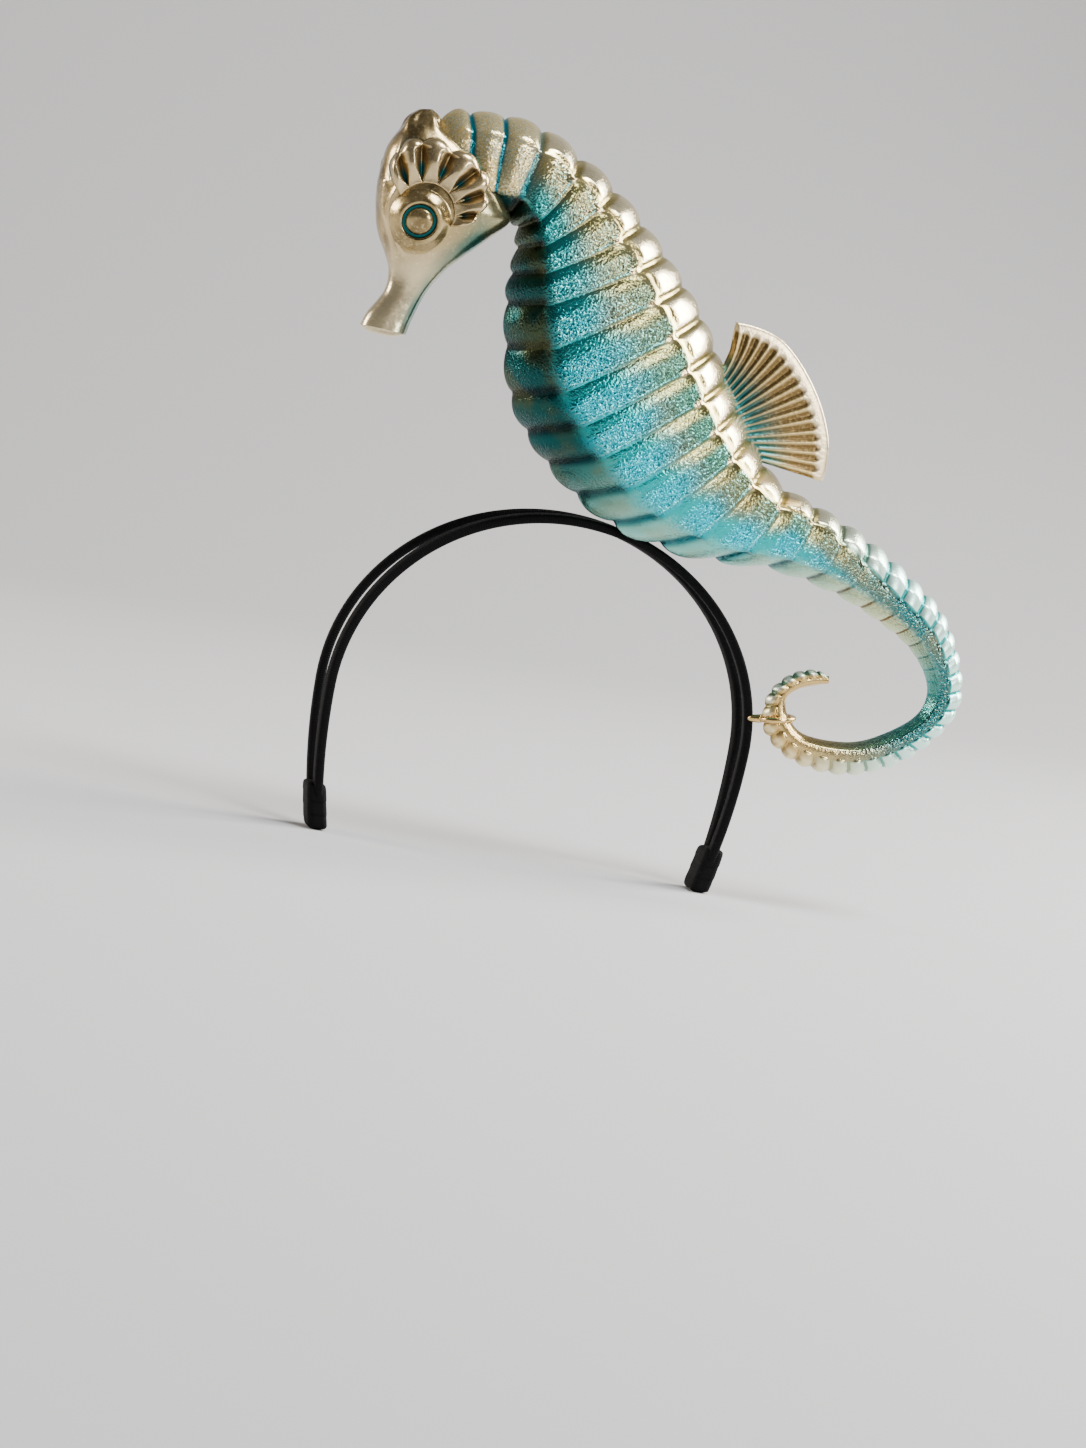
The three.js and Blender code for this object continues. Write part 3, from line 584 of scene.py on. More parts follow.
def make_turquoise_paint():
    """Hammered turquoise foil with pale gold on the raised parts.

    The tiles, cord, neck plates, ribs, line between rings, and belly folds each take a colour from where
    they lie round and along the body, and noise breaks the colours up into foil. Painted light lies over
    them: a painted glow and sheen on the lower flank, painted highlights in the tiles and on the knobs at
    the tip, and painted shade in the foil's hollows, where each ring begins, on the neck plates and on the
    front of the belly.
    """
    material, shader, place = new_material("turquoise_foil_paint")
    names = ("ring", "around", "from_cord", "share")
    ring, around, from_cord, share = (attribute(place, name) for name in names)
    within = ring.maths("FRACT", ring)
    bump = ring.wave()
    grit = place.noise(1700, 2)
    dust = place.noise(3000, 2)
    foil = place.noise(1150, 1.5, 0.4)
    cloud = place.noise(85, 3)
    smear = place.noise(28, 2)

    neck = 1 - share.rise(*NECK_END)
    tail = share.rise(*TAIL_PAINT_START)
    tip = share.rise(*TIP_PAINT_START)
    low = share.rise(0.2, 0.36)
    down = from_cord.rise(0.05, 0.95)
    # The glow is a painted reflection of light over the lower middle of the flank
    glow = share.rise(0.26, 0.38) * (1 - share.rise(0.47, 0.58)) * down.rise(0.2, 0.9)
    rib = within.rise(0, 0.08) * (1 - within.rise(0.28, 0.55)) * (1 - tail)

    # Flanks: gold under the cord, turquoise below it, and crinkled foil between smooth ribs
    upper = place.flat(*UPPER_GOLD).tint(srgb(*UPPER_TEAL), down.rise(0.1, 0.9))
    lower = place.flat(*LOWER_OLIVE).tint(srgb(*LOWER_TEAL), down.rise(0.05, 0.6))
    flank = upper.tint(lower, low).tint(srgb(*GLOW_HIGHLIGHT_TURQUOISE), glow).tint(srgb(*TAIL_TEAL), tail * 0.9)
    smooth_rib = place.flat(*RIB_GOLD).tint(srgb(*RIB_TEAL), down.rise(0.1, 0.8))
    flank = flank.tint(smooth_rib, rib * (0.6 + cloud * 0.5))
    crinkle = (1 - rib * 0.85) * (0.3 + 0.7 * smear.rise(0.35, 0.6)) * (1 - tail * 0.7)
    # Painted shade in the foil's hollows, where its bump is lowest, and painted glints on its crests
    pit_shade = (1 - foil.rise(0.36, 0.47)) + (1 - grit.rise(0.36, 0.45)) * 0.6
    flank = flank.tint(srgb(*FOIL_PIT_SHADE), pit_shade * crinkle * (0.7 - glow * 0.2))
    flank = flank.tint(srgb(*FOIL_GLINT), foil.rise(0.57, 0.66) * crinkle * (0.75 - glow * 0.55))
    flank = flank.tint(srgb(*TAIL_DUST), dust.rise(0.52, 0.62) * tail * 0.4)
    # A painted sheen of light on the foil crests of the lower middle flank
    shine = down.rise(0.55, 0.95) * share.rise(0.22, 0.28) * (1 - share.rise(0.34, 0.4)) * (1 - rib * 0.6)
    flank = flank.tint(srgb(*FOIL_SHINE), foil.rise(0.5, 0.66) * shine * 0.4)
    flank = flank.tint(srgb(*RUBBED_BRONZE), smear.rise(0.48, 0.66) * (1 - down.rise(0.2, 0.8)) * 0.4)
    line = within.rise(0.93, 0.96) * (1 - within.rise(0.975, 1.0)) * (1 - tail)
    flank = flank.tint(srgb(*RING_LINE), line * grit.rise(0.35, 0.5) * 0.7)
    # A narrow painted shadow where each ring begins, just past the line between rings
    flank = flank.tint(srgb(*RING_SHADE), (1 - within.rise(0.0, 0.05)) * (1 - tail) * 0.15)

    # Belly folds: dark in front, where their teal is darkened as painted shade of a belly turned away from
    # the light, pale behind, and a pale strip along the tail
    folds = place.flat(*SHADED_FOLD_ROOT).tint(srgb(*SHADED_FOLD_CREST), bump.rise(0.1, 0.8))
    folds = folds.tint(srgb(*FOLD_BRONZE), (cloud * 0.6 + smear * 0.4).rise(0.42, 0.66) * 0.6)
    pale = place.flat(*PALE_FOLD_ROOT).tint(srgb(*PALE_FOLD_CREST), bump.rise(0.1, 0.7))
    pale = pale.tint(srgb(*PALE_FOLD_GOLD), bump.rise(0.4, 1.0) * cloud.rise(0.4, 0.6) * 0.35)
    folds = folds.tint(pale, share.rise(0.345, 0.42))
    strip = place.flat(*STRIP_ROOT).tint(srgb(*STRIP_CREST), bump.rise(0.08, 0.3))
    strip = strip.tint(srgb(*STRIP_TEAL), share.rise(0.56, 0.64) * 0.85)
    folds = folds.tint(strip, tail)

    # Tiles with their edges, the cord, and the plates of the neck; the middle of each tile is pale paint
    # with a painted highlight in it
    tile = place.flat(*TILE_GOLD_AND_HIGHLIGHT).tint(srgb(*TILE_GRIT), grit.rise(0.56, 0.66) * 0.55)
    tile = tile.tint(srgb(*TAIL_TILE_AND_HIGHLIGHT), tail * 0.9)
    inside = bump.rise(0.3 - tail * 0.15, 0.55 - tail * 0.15)
    inside = inside * (1 - from_cord.rise(-0.2 + tail * 0.1, -0.1 + tail * 0.06))
    edge = place.flat(*TILE_EDGE).tint(srgb(*TAIL_TILE_EDGE), tail)
    tile = edge.tint(tile, inside)
    cord = from_cord.rise(-0.06, -0.025) * (1 - from_cord.rise(0.025, 0.06))
    # Painted shade: the neck plates turn darker teal towards the flank and where each ring begins, broken
    # up by noise
    shade = around.rise(0.5, 1.9) * 0.45 + (1 - within.rise(0.1, 0.7)) * 0.25
    plate = place.flat(*NECK_GOLD).tint(srgb(*NECK_SHADE), (shade + cloud - 0.5).rise(0.25, 0.85) * 0.8)
    plate = plate.tint(srgb(*NECK_BRONZE), cloud.rise(0.5, 0.62) * 0.45)
    plate = plate.tint(srgb(*NECK_TEAL), smear.rise(0.46, 0.58) * grit.rise(0.38, 0.5) * 0.6)
    plate = plate.tint(srgb(*NECK_GLINT), grit.rise(0.5, 0.62) * 0.6)
    plate = plate.tint(srgb(*NECK_SEAM), 1 - bump.rise(0.12, 0.38))

    # All of them laid together from the back to the belly, and gold over the tip of the tail
    colour = tile.tint(flank, from_cord.rise(-0.05, 0.02))
    colour = colour.tint(srgb(*CORD_GOLD), cord * (0.2 + 0.8 * (1 - bump.rise(0.1, 0.45))) * (1 - tail))
    colour = colour.tint(plate, neck)
    ragged = around + foil * 0.3 - 0.15
    colour = colour.tint(folds, ragged.rise(1.88 - low * 0.06, 2.1 + low * 0.1))
    outer = 1 - around.rise(0.9, 1.3)
    end = place.flat(*TIP_GOLD).tint(srgb(*TIP_CREST), bump.rise(0.3, 0.9) * outer)
    # The knobs at the tip: teal, with a painted highlight on their crests
    knob = place.flat(*TIP_KNOB_ROOT).tint(srgb(*TIP_KNOB_HIGHLIGHT), bump.rise(0.5, 0.95))
    end = end.tint(knob, share.rise(0.84, 0.9) * outer * 0.85)
    colour = colour.tint(end, tip)

    feed(shader, "Base Color", colour)
    feed(shader, "Metallic", 0.85 + foil * 0.15 - neck * 0.2)
    feed(shader, "Roughness", 0.12 + grit * 0.14 + tail * (1 - from_cord.rise(-0.1, 0.05)) * 0.2)
    hammered = (1 - rib * 0.75) * (0.25 + from_cord.rise(0.0, 0.12) * 0.75) * (1 - neck * 0.25)
    raise_by(shader, (grit * 0.15 + foil) * hammered * (1 - tail * 0.6 - tip * 0.35), 0.0007, 1.0)
    return material


fit(make_body(), make_turquoise_paint(), "turquoise_paint", "body")


# The head is carved with the trunk and painted bronze gold, with teal left in its recesses. A tube of a
# snout flares at the mouth, a low coronet tops the brow, and a smooth raised ring stands round each eye.

# One level section a row: the ends on the face (x, z) and at the rear (x, z), and the half width
HEAD_ROWS = np.array([
    (-80, 73.5, -64.5, 70, 6.2),
    (-77.5, 78, -62.5, 75, 5.9),
    (-71.5, 85.5, -57.5, 84.5, 5.8),
    (-70, 92.5, -51.5, 91.5, 7),
    (-71.5, 99, -44.5, 97, 10),
    (-73.5, 104.5, -35.5, 103.5, 13.5),
    (-74.5, 110, -27.5, 110, 16),
    (-74.5, 116, -29, 116, 16.5),
    (-74, 123.5, -33.5, 123.5, 16),
    (-72.5, 130.5, -38, 130.5, 14.5),
    (-70.5, 136.5, -44, 136.5, 12),
    (-66.5, 142, -51, 142, 9),
    (-63.5, 146.5, -53, 146.5, 6),
    (-59.5, 149.2, -55, 149.2, 2.4),
])
FACE_POWER = 2.2
REAR_POWER = 3.6
MOUTH_DOME = 2.2
MOUTH_HOLLOW = 1.1
EYE_X = -61.5
EYE_Z = 110
EYE_WELL_INNER = 4
EYE_RING_INNER = 5.7
EYE_RING_OUTER = 11.5
EYE_RING_RISE = 1.8
EYE_RING_STEEP = 0.09
EYE_RING_DEPTH = 2.5
CORONET_NUBS = 5
NUB_HEIGHT = 0.8
KEEL_WIDTH = 0.14
KEEL_HEIGHT = 0.7
LINE_WIDTH = 0.8
LINE_HEIGHT = 0.55

# Raised lines on each side of the face: round the eye, along the bridge of the nose and down the brow
EYE_LINE = np.array([
    (-68.1, 123), (-70.7, 117.3), (-71.2, 112.6), (-70.6, 108.5), (-68.5, 103.2), (-66, 98),
])
NOSE_LINE = np.array([(-72.6, 124), (-73.3, 116), (-71.9, 109), (-70, 102.6), (-68.6, 97)])
BROW_LINE = np.array([(-66.2, 139), (-68, 134), (-69.6, 128.4), (-70.5, 124)])

# Paint colours of the head, fans and eyes
BRONZE = (176, 153, 105)
DARK_BRONZE = (96, 79, 50)
BRONZE_GLINT = (216, 194, 150)
SNOUT_GOLD = (236, 220, 180)
LINE_GOLD = (228, 204, 156)
JAW_TEAL = (30, 100, 92)
FLUTE_BROWN = (112, 90, 54)
FLUTE_TEAL = (20, 88, 90)
MOUTH_DARK = (30, 22, 14)


def superellipse(turn):
    """Round the head: 1 at the rear and -1 at the face, rounder in front and squarer at the rear."""
    power = np.where(np.cos(turn) < 0, FACE_POWER, REAR_POWER)
    along = np.sign(np.cos(turn)) * np.abs(np.cos(turn)) ** (2 / power)
    return along, np.sign(np.sin(turn)) * np.abs(np.sin(turn)) ** (2 / power)


def line_at(x, z, line, width):
    """A bell curve of the distance, seen from the side, to a line through a few points."""
    traced = through(line, np.linspace(0, 1, 60))
    apart = np.hypot(x[..., None] - traced[:, 0], z[..., None] - traced[:, 1]).min(-1)
    return bell(apart, width)


def make_head(levels=230, sides=180):
    """Level sections carried from the mouth to the coronet, each a superellipse.

    Bell curves raise the lines of the face and a keel under the snout, and a cosine raises nubs on the
    coronet. The mouth is a dome that falls off by the cube of the way, with a small hollow in its middle.
    """
    share = np.linspace(0, 1, levels)
    rows = through(HEAD_ROWS, share)
    turn = np.linspace(0, 2 * np.pi, sides, endpoint=False)
    along, side = superellipse(turn)
    half = (rows[:, 2:4] - rows[:, :2]) / 2
    middle = rows[:, :2] + half
    flat = middle[:, None] + half[:, None] * along[:, None]
    x, z = flat[..., 0], flat[..., 1]
    lines = sum(line_at(x, z, line, LINE_WIDTH) for line in (EYE_LINE, NOSE_LINE, BROW_LINE))
    keel = bell(np.minimum(turn, 2 * np.pi - turn), KEEL_WIDTH) * (1 - smooth(90, 97, z)) * KEEL_HEIGHT
    nubs = np.cos(CORONET_NUBS * turn) * smooth(140, 146, z) * (1 - smooth(147, 150, z)) * NUB_HEIGHT
    rise = LINE_HEIGHT * lines + keel + nubs
    reach = np.hypot(along * np.linalg.norm(half, axis=1)[:, None], side * rows[:, 4:])
    grown = 1 + rise / np.maximum(reach, 3)
    flat = middle[:, None] + half[:, None] * (along * grown)[..., None]
    rings = np.stack([flat[..., 0], side * rows[:, 4:] * grown, flat[..., 1]], -1)
    up_snout = unit(rings[4].mean(0) - rings[0].mean(0))
    lip = rings[0]
    centre = lip.mean(0)
    inward = np.linspace(1, 0, 16)[:-1]
    bulge = MOUTH_DOME * (1 - (1 - inward) ** 3) - MOUTH_HOLLOW * bell(inward - 1, 0.2)
    dome = lip + (centre - lip) * (0.97 * inward)[:, None, None] - up_snout * bulge[:, None, None]
    mouth = np.append(bell(inward - 1, 0.22), np.zeros(levels))[:, None]
    dome_zeros = np.zeros((len(inward), sides))
    jaw = np.vstack([dome_zeros, smooth(0.05, 0.85, along) * (1 - smooth(110, 126, z))])
    line = np.vstack([dome_zeros, lines])
    snout = np.vstack([dome_zeros + 1, 1 - smooth(90, 106, z)])
    fields = {"mouth": mouth, "jaw": jaw, "line": line, "snout": snout}
    return loft("seahorse_head", in_place(np.concatenate([dome, rings])), **fields)


def head_side(x, z):
    """Half the head's width at a place on its side: the section at that level, read at that length."""
    share = np.linspace(0, 1, 2000)
    rows = through(HEAD_ROWS, share)
    at = np.interp(z, (rows[:, 1] + rows[:, 3]) / 2, share)
    face_x, _, rear_x, _, width = np.moveaxis(through(HEAD_ROWS, at), -1, 0)
    along = np.clip((2 * x - face_x - rear_x) / (rear_x - face_x), -0.97, 0.97)
    power = np.where(along < 0, FACE_POWER, REAR_POWER)
    return width * (1 - np.abs(along) ** power) ** (1 / power)


def eye_plane(x, z):
    """The flat that touches the head's side at the eye: the width there plus its slopes times the way."""
    reach = 4
    across, along = np.array([0, reach, -reach, 0, 0]), np.array([0, 0, 0, reach, -reach])
    level, rear, front, top, bottom = head_side(EYE_X + across, EYE_Z + along)
    return level + (rear - front) * (x - EYE_X) / (2 * reach) + (top - bottom) * (z - EYE_Z) / (2 * reach)


def make_eye_ring(name, side, sides=120, steps=40):
    """A mound round the eye: a flat well, a climb that levels off, and a smooth step down into the head."""
    turn = np.linspace(0, 2 * np.pi, sides, endpoint=False)[:, None]
    radius = np.linspace(EYE_WELL_INNER, EYE_RING_OUTER, steps)
    x, z = EYE_X + radius * np.cos(turn), EYE_Z + radius * np.sin(turn)
    t = np.clip((radius - EYE_RING_INNER) / (EYE_RING_OUTER - EYE_RING_INNER), 0, 1)
    flat = eye_plane(x, z)
    base = flat + (head_side(x, z) - flat) * smooth(0, 1, t)
    crown = base + EYE_RING_RISE * (1 - np.exp(-t / EYE_RING_STEEP)) * (1 - smooth(0, 1, t))
    upper = np.stack([x, side * crown, z], -1)
    under = np.stack([x, side * (base - EYE_RING_DEPTH), z], -1)[:, ::-1]
    well = np.append(1 - smooth(0.01, 0.09, t), np.ones(steps))[None, :]
    return loft(name, in_place(np.concatenate([upper, under], 1)), loop=True, flute=well)


def make_bronze_paint():
    """Bronze-gold metallic paint: cloudy gold and brown, with dark teal left in the hollows.

    The hollows are the flutes of the fans, the well round each eye and the underside of the jaw. The same
    dark teal along the rim of each fan is painted shade, and the middle of the mouth is painted near black.
    """
    material, shader, place = new_material("bronze_gold_paint")
    names = ("mouth", "jaw", "line", "snout", "flute")
    mouth, jaw, line, snout, flute = (attribute(place, name) for name in names)
    cloud = place.noise(95, 3)
    grain = place.noise(900, 2)
    smear = place.noise(45, 2)
    colour = place.flat(*BRONZE).tint(srgb(*DARK_BRONZE), cloud.rise(0.46, 0.66) * 0.7)
    colour = colour.tint(srgb(*BRONZE_GLINT), grain.rise(0.52, 0.68) * 0.5)
    colour = colour.tint(srgb(*SNOUT_GOLD), snout * (0.4 + smear * 0.5))
    colour = colour.tint(srgb(*LINE_GOLD), line * 0.7)
    colour = colour.tint(srgb(*JAW_TEAL), jaw * (0.45 + smear.rise(0.35, 0.6) * 0.5))
    # Flutes: brown, then dark teal deeper in. The fans' rims take the same dark teal as painted shade.
    colour = colour.tint(srgb(*FLUTE_BROWN), flute.rise(0.15, 0.5) * 0.8)
    colour = colour.tint(srgb(*FLUTE_TEAL), flute.rise(0.5, 0.95))
    colour = colour.tint(srgb(*MOUTH_DARK), mouth)
    feed(shader, "Base Color", colour)
    feed(shader, "Metallic", 0.9 - snout * 0.12)
    feed(shader, "Roughness", 0.2 + grain * 0.1 + flute * 0.2)
    feed(shader, "Coat Weight", 0.25 - flute * 0.25)
    feed(shader, "Coat Roughness", 0.1)
    raise_by(shader, grain * 0.4 + cloud * 4, 0.00012, 0.8)
    return material


bronze_paint = make_bronze_paint()
fit(make_head(), bronze_paint, "gold_paint", "head")
fit(make_eye_ring("eye_ring_left", FRONT), bronze_paint, "gold_paint")
fit(make_eye_ring("eye_ring_right", REAR), bronze_paint, "gold_paint")


# The cheek fans are scalloped plates on the sides of the head, fluted like a shell round the eye. They are
# cast apart and glued on, and painted like the head, with teal in the flutes. A dark teal line along the
# rim is painted shade of the raised rim's edge.

FAN_X = -59.5
FAN_Z = 113.3
FAN_INNER = 10.2
FAN_INNER_THICKNESS = 0.9
FAN_RIM_THICKNESS = 3.1
FAN_RIM_POWER = 12
FAN_FLUTE = 1.8
FAN_FLUTE_WIDTH = 0.4
FAN_PILLOW = 1.7
FAN_SCALLOP = 0.09
FAN_STIFFNESS = 0.14
FAN_DEPTH = 1.8
FAN_SUNK = 1.2

# One flute a row, from the cheek over to the face: its turn at the inner end and at the rim, and its reach
FAN_ROWS = np.array([
    (-30, -22, 14.5),
    (-8, -3, 20),
    (17.5, 17.5, 24.5),
    (39, 38, 27),
    (67, 66, 25.5),
    (97, 92, 27),
    (124, 112, 25),
    (146, 136, 17),
])


def make_fan(name, side, lobe_steps=30, out_steps=44):
    """A plate in polar rows round the eye, from its inner edge out to a scalloped rim.

    Between two flutes the rim bows out by half a sine, and the face swells by a parabola. A flute is a
    hollow that narrows towards both its ends and stops short of the rim, which is rounded over. The plate
    bends less than the head does: it takes the head's width from a place a little nearer its own centre.
    """
    row = np.linspace(0, len(FAN_ROWS) - 1, (len(FAN_ROWS) - 1) * lobe_steps + 1)
    table = [np.interp(row, np.arange(len(FAN_ROWS)), column)[:, None] for column in FAN_ROWS.T]
    inner_turn, rim_turn, reach = np.radians(table[0]), np.radians(table[1]), table[2]
    lobe = np.abs(np.sin(np.pi * row))[:, None]
    reach = reach * (1 - FAN_SCALLOP * (1 - lobe))
    out = np.linspace(0, 1, out_steps)
    turn = inner_turn + (rim_turn - inner_turn) * out
    radius = FAN_INNER + (reach - FAN_INNER) * out
    x, z = FAN_X + radius * np.cos(turn), FAN_Z + radius * np.sin(turn)
    skin = head_side(x, z)
    base = head_side(x + (FAN_X - x) * FAN_STIFFNESS, z + (FAN_Z - z) * FAN_STIFFNESS)
    apart = np.abs(row - np.round(row))[:, None]
    room = FAN_FLUTE_WIDTH * smooth(-0.05, 0.45, out) * (1 - smooth(0.74, 0.92, out)) + 0.02
    edge = np.minimum(row, row[-1] - row)[:, None]
    flute = (1 - smooth(0, 1, apart / room)) * smooth(0.3, 0.6, edge) * smooth(0, 0.06, out)
    flute = flute * (1 - smooth(0.88, 0.95, out))
    thick = FAN_INNER_THICKNESS + (FAN_RIM_THICKNESS - FAN_INNER_THICKNESS) * out
    thick = thick + FAN_PILLOW * (1 - (1 - 2 * apart) ** 2) * smooth(0.05, 0.5, out)
    thick = thick * (1 - out**FAN_RIM_POWER) ** 0.5 * smooth(0, 0.15, edge) ** 0.5
    deep = np.minimum(FAN_FLUTE * flute, thick + 0.3)
    upper = np.stack([x, side * (base + thick - deep), z], -1)
    bottom = np.minimum(base - FAN_DEPTH, skin - FAN_SUNK)
    under = np.stack([x, side * bottom, z], -1)[:, ::4][:, ::-1]
    # Teal in the flutes, and a dark teal line along the rim that is painted shade of the rim's edge
    teal = np.maximum(flute * (1 - 0.5 * smooth(0.3, 0.7, out)), smooth(0.965, 0.995, out))
    flute_and_rim_shade = np.concatenate([teal, np.ones((len(row), under.shape[1]))], 1)
    light = np.concatenate([0.8 * (1 - flute), np.zeros((len(row), under.shape[1]))], 1)
    return loft(name, in_place(np.concatenate([upper, under], 1)), flute=flute_and_rim_shade, line=light)


fit(make_fan("cheek_fan_left_plate", FRONT), bronze_paint, "gold_paint", "cheek_fan_left")
fit(make_fan("cheek_fan_right_plate", REAR), bronze_paint, "gold_paint", "cheek_fan_right")


# Each eye is a polished dome on a straight foot, painted like the head. It is cast apart and set in the
# hollow inside the raised ring.

EYE_RADIUS = 4.8
EYE_HEIGHT = 2.6
EYE_FOOT = 1.2


def make_eye(name, side, sides=72):
    """A half-ellipse profile turned round the eye's axis, standing on a straight foot."""
    turn = np.linspace(0, 2 * np.pi, sides, endpoint=False)
    rise = np.linspace(0, np.pi / 2, 20)[:-1]
    radius = np.append(EYE_RADIUS, EYE_RADIUS * np.cos(rise))[:, None]
    height = np.append(-EYE_FOOT, EYE_HEIGHT * np.sin(rise))[:, None]
    x, z = EYE_X + radius * np.cos(turn), EYE_Z + radius * np.sin(turn)
    return loft(name, in_place(np.stack([x, side * (eye_plane(x, z) + height), z], -1)))


fit(make_eye("eye_left_dome", FRONT), bronze_paint, "gold_paint", "eye_left")
fit(make_eye("eye_right_dome", REAR), bronze_paint, "gold_paint", "eye_right")


# The dorsal fin is a thin cast fan let into a slot in the back. Fine ribs run from its root to just short
# of a smooth rim, and its gold paint turns teal near the root.

FIN_ROOT = np.array([(51.5, 56), (59.5, 40.5), (66.5, 24.5)])
FIN_RIM = np.array([(57.5, 75.5), (74, 68.5), (86, 52), (92, 33.5), (91, 17)])
FIN_RIBS = 16
FIN_ROOT_THICKNESS = 3.2
FIN_RIM_THICKNESS = 2.2
FIN_RIB_RELIEF = 1.1
FIN_RIM_SHARE = 0.88
FIN_ARCH = 0.2
FIN_SINK = 0.14
FIN_FLARE = 7
FIN_FLARE_TURN = 0.86
FIN_TIP_ROUND = 0.04
FIN_FINE_RIM = 0.04
FIN_BORDER = 0.6
FIN_BROWN = (106, 86, 52)
FIN_GRAIN = (168, 142, 96)
FIN_RIB_GOLD = (184, 160, 108)
FIN_TEAL = (8, 84, 84)
FIN_RIM_GOLD = (236, 214, 170)


def make_fin(rib_steps=16, out_steps=44):
    """A plate ruled from inside the back out to the rim: its half thickness loses a valley between ribs.

    The rim is drawn in at both tips to round them, the ribs towards the upper tip bend in and then flare
    out by a parabola, and each valley ends in an arch short of the rim.
    """
    rib = np.linspace(0, FIN_RIBS, FIN_RIBS * rib_steps + 1)
    rim_out = 1 - FIN_FINE_RIM * np.linspace(1, 0, 8)[1:] ** 2
    out = np.append(np.linspace(-FIN_SINK, 1 - FIN_FINE_RIM, out_steps), rim_out)
    root, rim = (through(points, rib / FIN_RIBS) for points in (FIN_ROOT, FIN_RIM))
    edge = np.minimum(rib, FIN_RIBS - rib)[:, None]
    reach = out * (1 - FIN_TIP_ROUND * (1 - smooth(0, 1.3, edge) ** 0.5))
    way = unit(rim - root)
    sideways = np.stack([-way[:, 1], way[:, 0]], -1)
    flare = FIN_FLARE * (1 - rib / FIN_RIBS)[:, None] ** 3 * (reach**2 - FIN_FLARE_TURN * reach)
    flat = root[:, None] + (rim - root)[:, None] * reach[..., None] + sideways[:, None] * flare[..., None]
    apart = np.abs(rib - np.round(rib))[:, None]
    arch = FIN_RIM_SHARE - FIN_ARCH * apart**2
    smooth_rim = smooth(arch - 0.05, arch, out)
    valley = 1 - np.abs(np.sin(np.pi * rib))[:, None] ** 1.6
    ribbed = smooth(0, 0.1, out) * (1 - smooth_rim) * smooth(FIN_BORDER / 2, FIN_BORDER, edge)
    half = (FIN_ROOT_THICKNESS + (FIN_RIM_THICKNESS - FIN_ROOT_THICKNESS) * out) / 2
    half = (half - FIN_RIB_RELIEF / 2 * valley * ribbed) * (0.15 + 0.85 * np.sqrt(1 - out**30))
    half = half * (0.4 + 0.6 * smooth(0, 0.3, edge) ** 0.5)
    near = np.stack([flat[..., 0], -half, flat[..., 1]], -1)
    far = np.stack([flat[..., 0], half, flat[..., 1]], -1)[:, ::-1]
    fields = {"rib": rib[:, None], "out": np.append(out, out[::-1])[None, :]}
    fields["rim"] = np.concatenate([smooth_rim, smooth_rim[:, ::-1]], 1)
    return loft("dorsal_fin_plate", in_place(np.concatenate([near, far], 1)), **fields)


def make_fin_paint():
    """Gold ribs over brown valleys, a pale gold rim, and teal towards the root."""
    material, shader, place = new_material("fin_gold_paint")
    rib, out, rim = (attribute(place, name) for name in ("rib", "out", "rim"))
    grain = place.noise(900, 2)
    cloud = place.noise(110, 2)
    crest = rib.wave()
    colour = place.flat(*FIN_BROWN).tint(srgb(*FIN_GRAIN), grain.rise(0.5, 0.66) * 0.4)
    colour = colour.tint(srgb(*FIN_RIB_GOLD), crest.rise(0.75, 1.0) * 0.85)
    teal = (1 - out.rise(0.1, 0.55)) * (0.6 + cloud * 0.6)
    colour = colour.tint(srgb(*FIN_TEAL), teal * (1 - crest.rise(0.7, 1.0) * 0.5))
    colour = colour.tint(srgb(*FIN_RIM_GOLD), rim)
    feed(shader, "Base Color", colour)
    feed(shader, "Metallic", 0.85)
    feed(shader, "Roughness", 0.24 + grain * 0.16)
    raise_by(shader, grain, 0.00015, 0.6)
    return material


fit(make_fin(), make_fin_paint(), "gold_paint", "dorsal_fin")


# The tail tie is a gold wire bent round the tail, with a prong that reaches the edge of the front band and
# holds the curl of the tail steady.

TIE_CENTRE = np.array([74.8, 0, -69.4])
TIE_DEPTH = 6
TIE_WIDTH = 6.2
TIE_WIRE = 1.1
PRONG_TIP = np.array([64.3, 2, -69.4])
PRONG_RADIUS = 1.6
PRONG_TAPER = 0.5
PRONG_BLUNT = 0.05
WIRE_GOLD = (214, 182, 120)
WIRE_BROWN = (160, 120, 66)


def make_tie_ring(sides=96, wire_sides=20):
    """A round wire carried round a level ellipse a little wider than the tail."""
    turn = np.linspace(0, 2 * np.pi, sides, endpoint=False)[:, None]
    roll = np.linspace(0, 2 * np.pi, wire_sides, endpoint=False)
    x = (TIE_DEPTH + TIE_WIRE * np.cos(roll)) * np.cos(turn)
    y = (TIE_WIDTH + TIE_WIRE * np.cos(roll)) * np.sin(turn)
    z = np.broadcast_to(TIE_WIRE * np.sin(roll), x.shape)
    return loft("tail_tie_ring", in_place(TIE_CENTRE + np.stack([x, y, z], -1)), loop=True)


def make_prong(steps=40, sides=20):
    """A straight wire from the ring to the band: it thins by the square of the way to a rounded tip."""
    share = np.linspace(0, 1, steps)[:, None]
    start = TIE_CENTRE - [TIE_DEPTH, 0, 0]
    centre = start + (PRONG_TIP - start) * share
    along = unit(PRONG_TIP - start)
    across = unit(np.cross(along, [0, 0, 1]))
    high = np.cross(across, along)
    radius = PRONG_RADIUS * (1 - PRONG_TAPER * share**2) * np.sqrt(1 - share**10) + PRONG_BLUNT
    roll = np.linspace(0, 2 * np.pi, sides, endpoint=False)[:, None]
    rings = centre[:, None] + radius[:, None] * (across * np.cos(roll) + high * np.sin(roll))
    return loft("tail_tie_prong", in_place(rings))


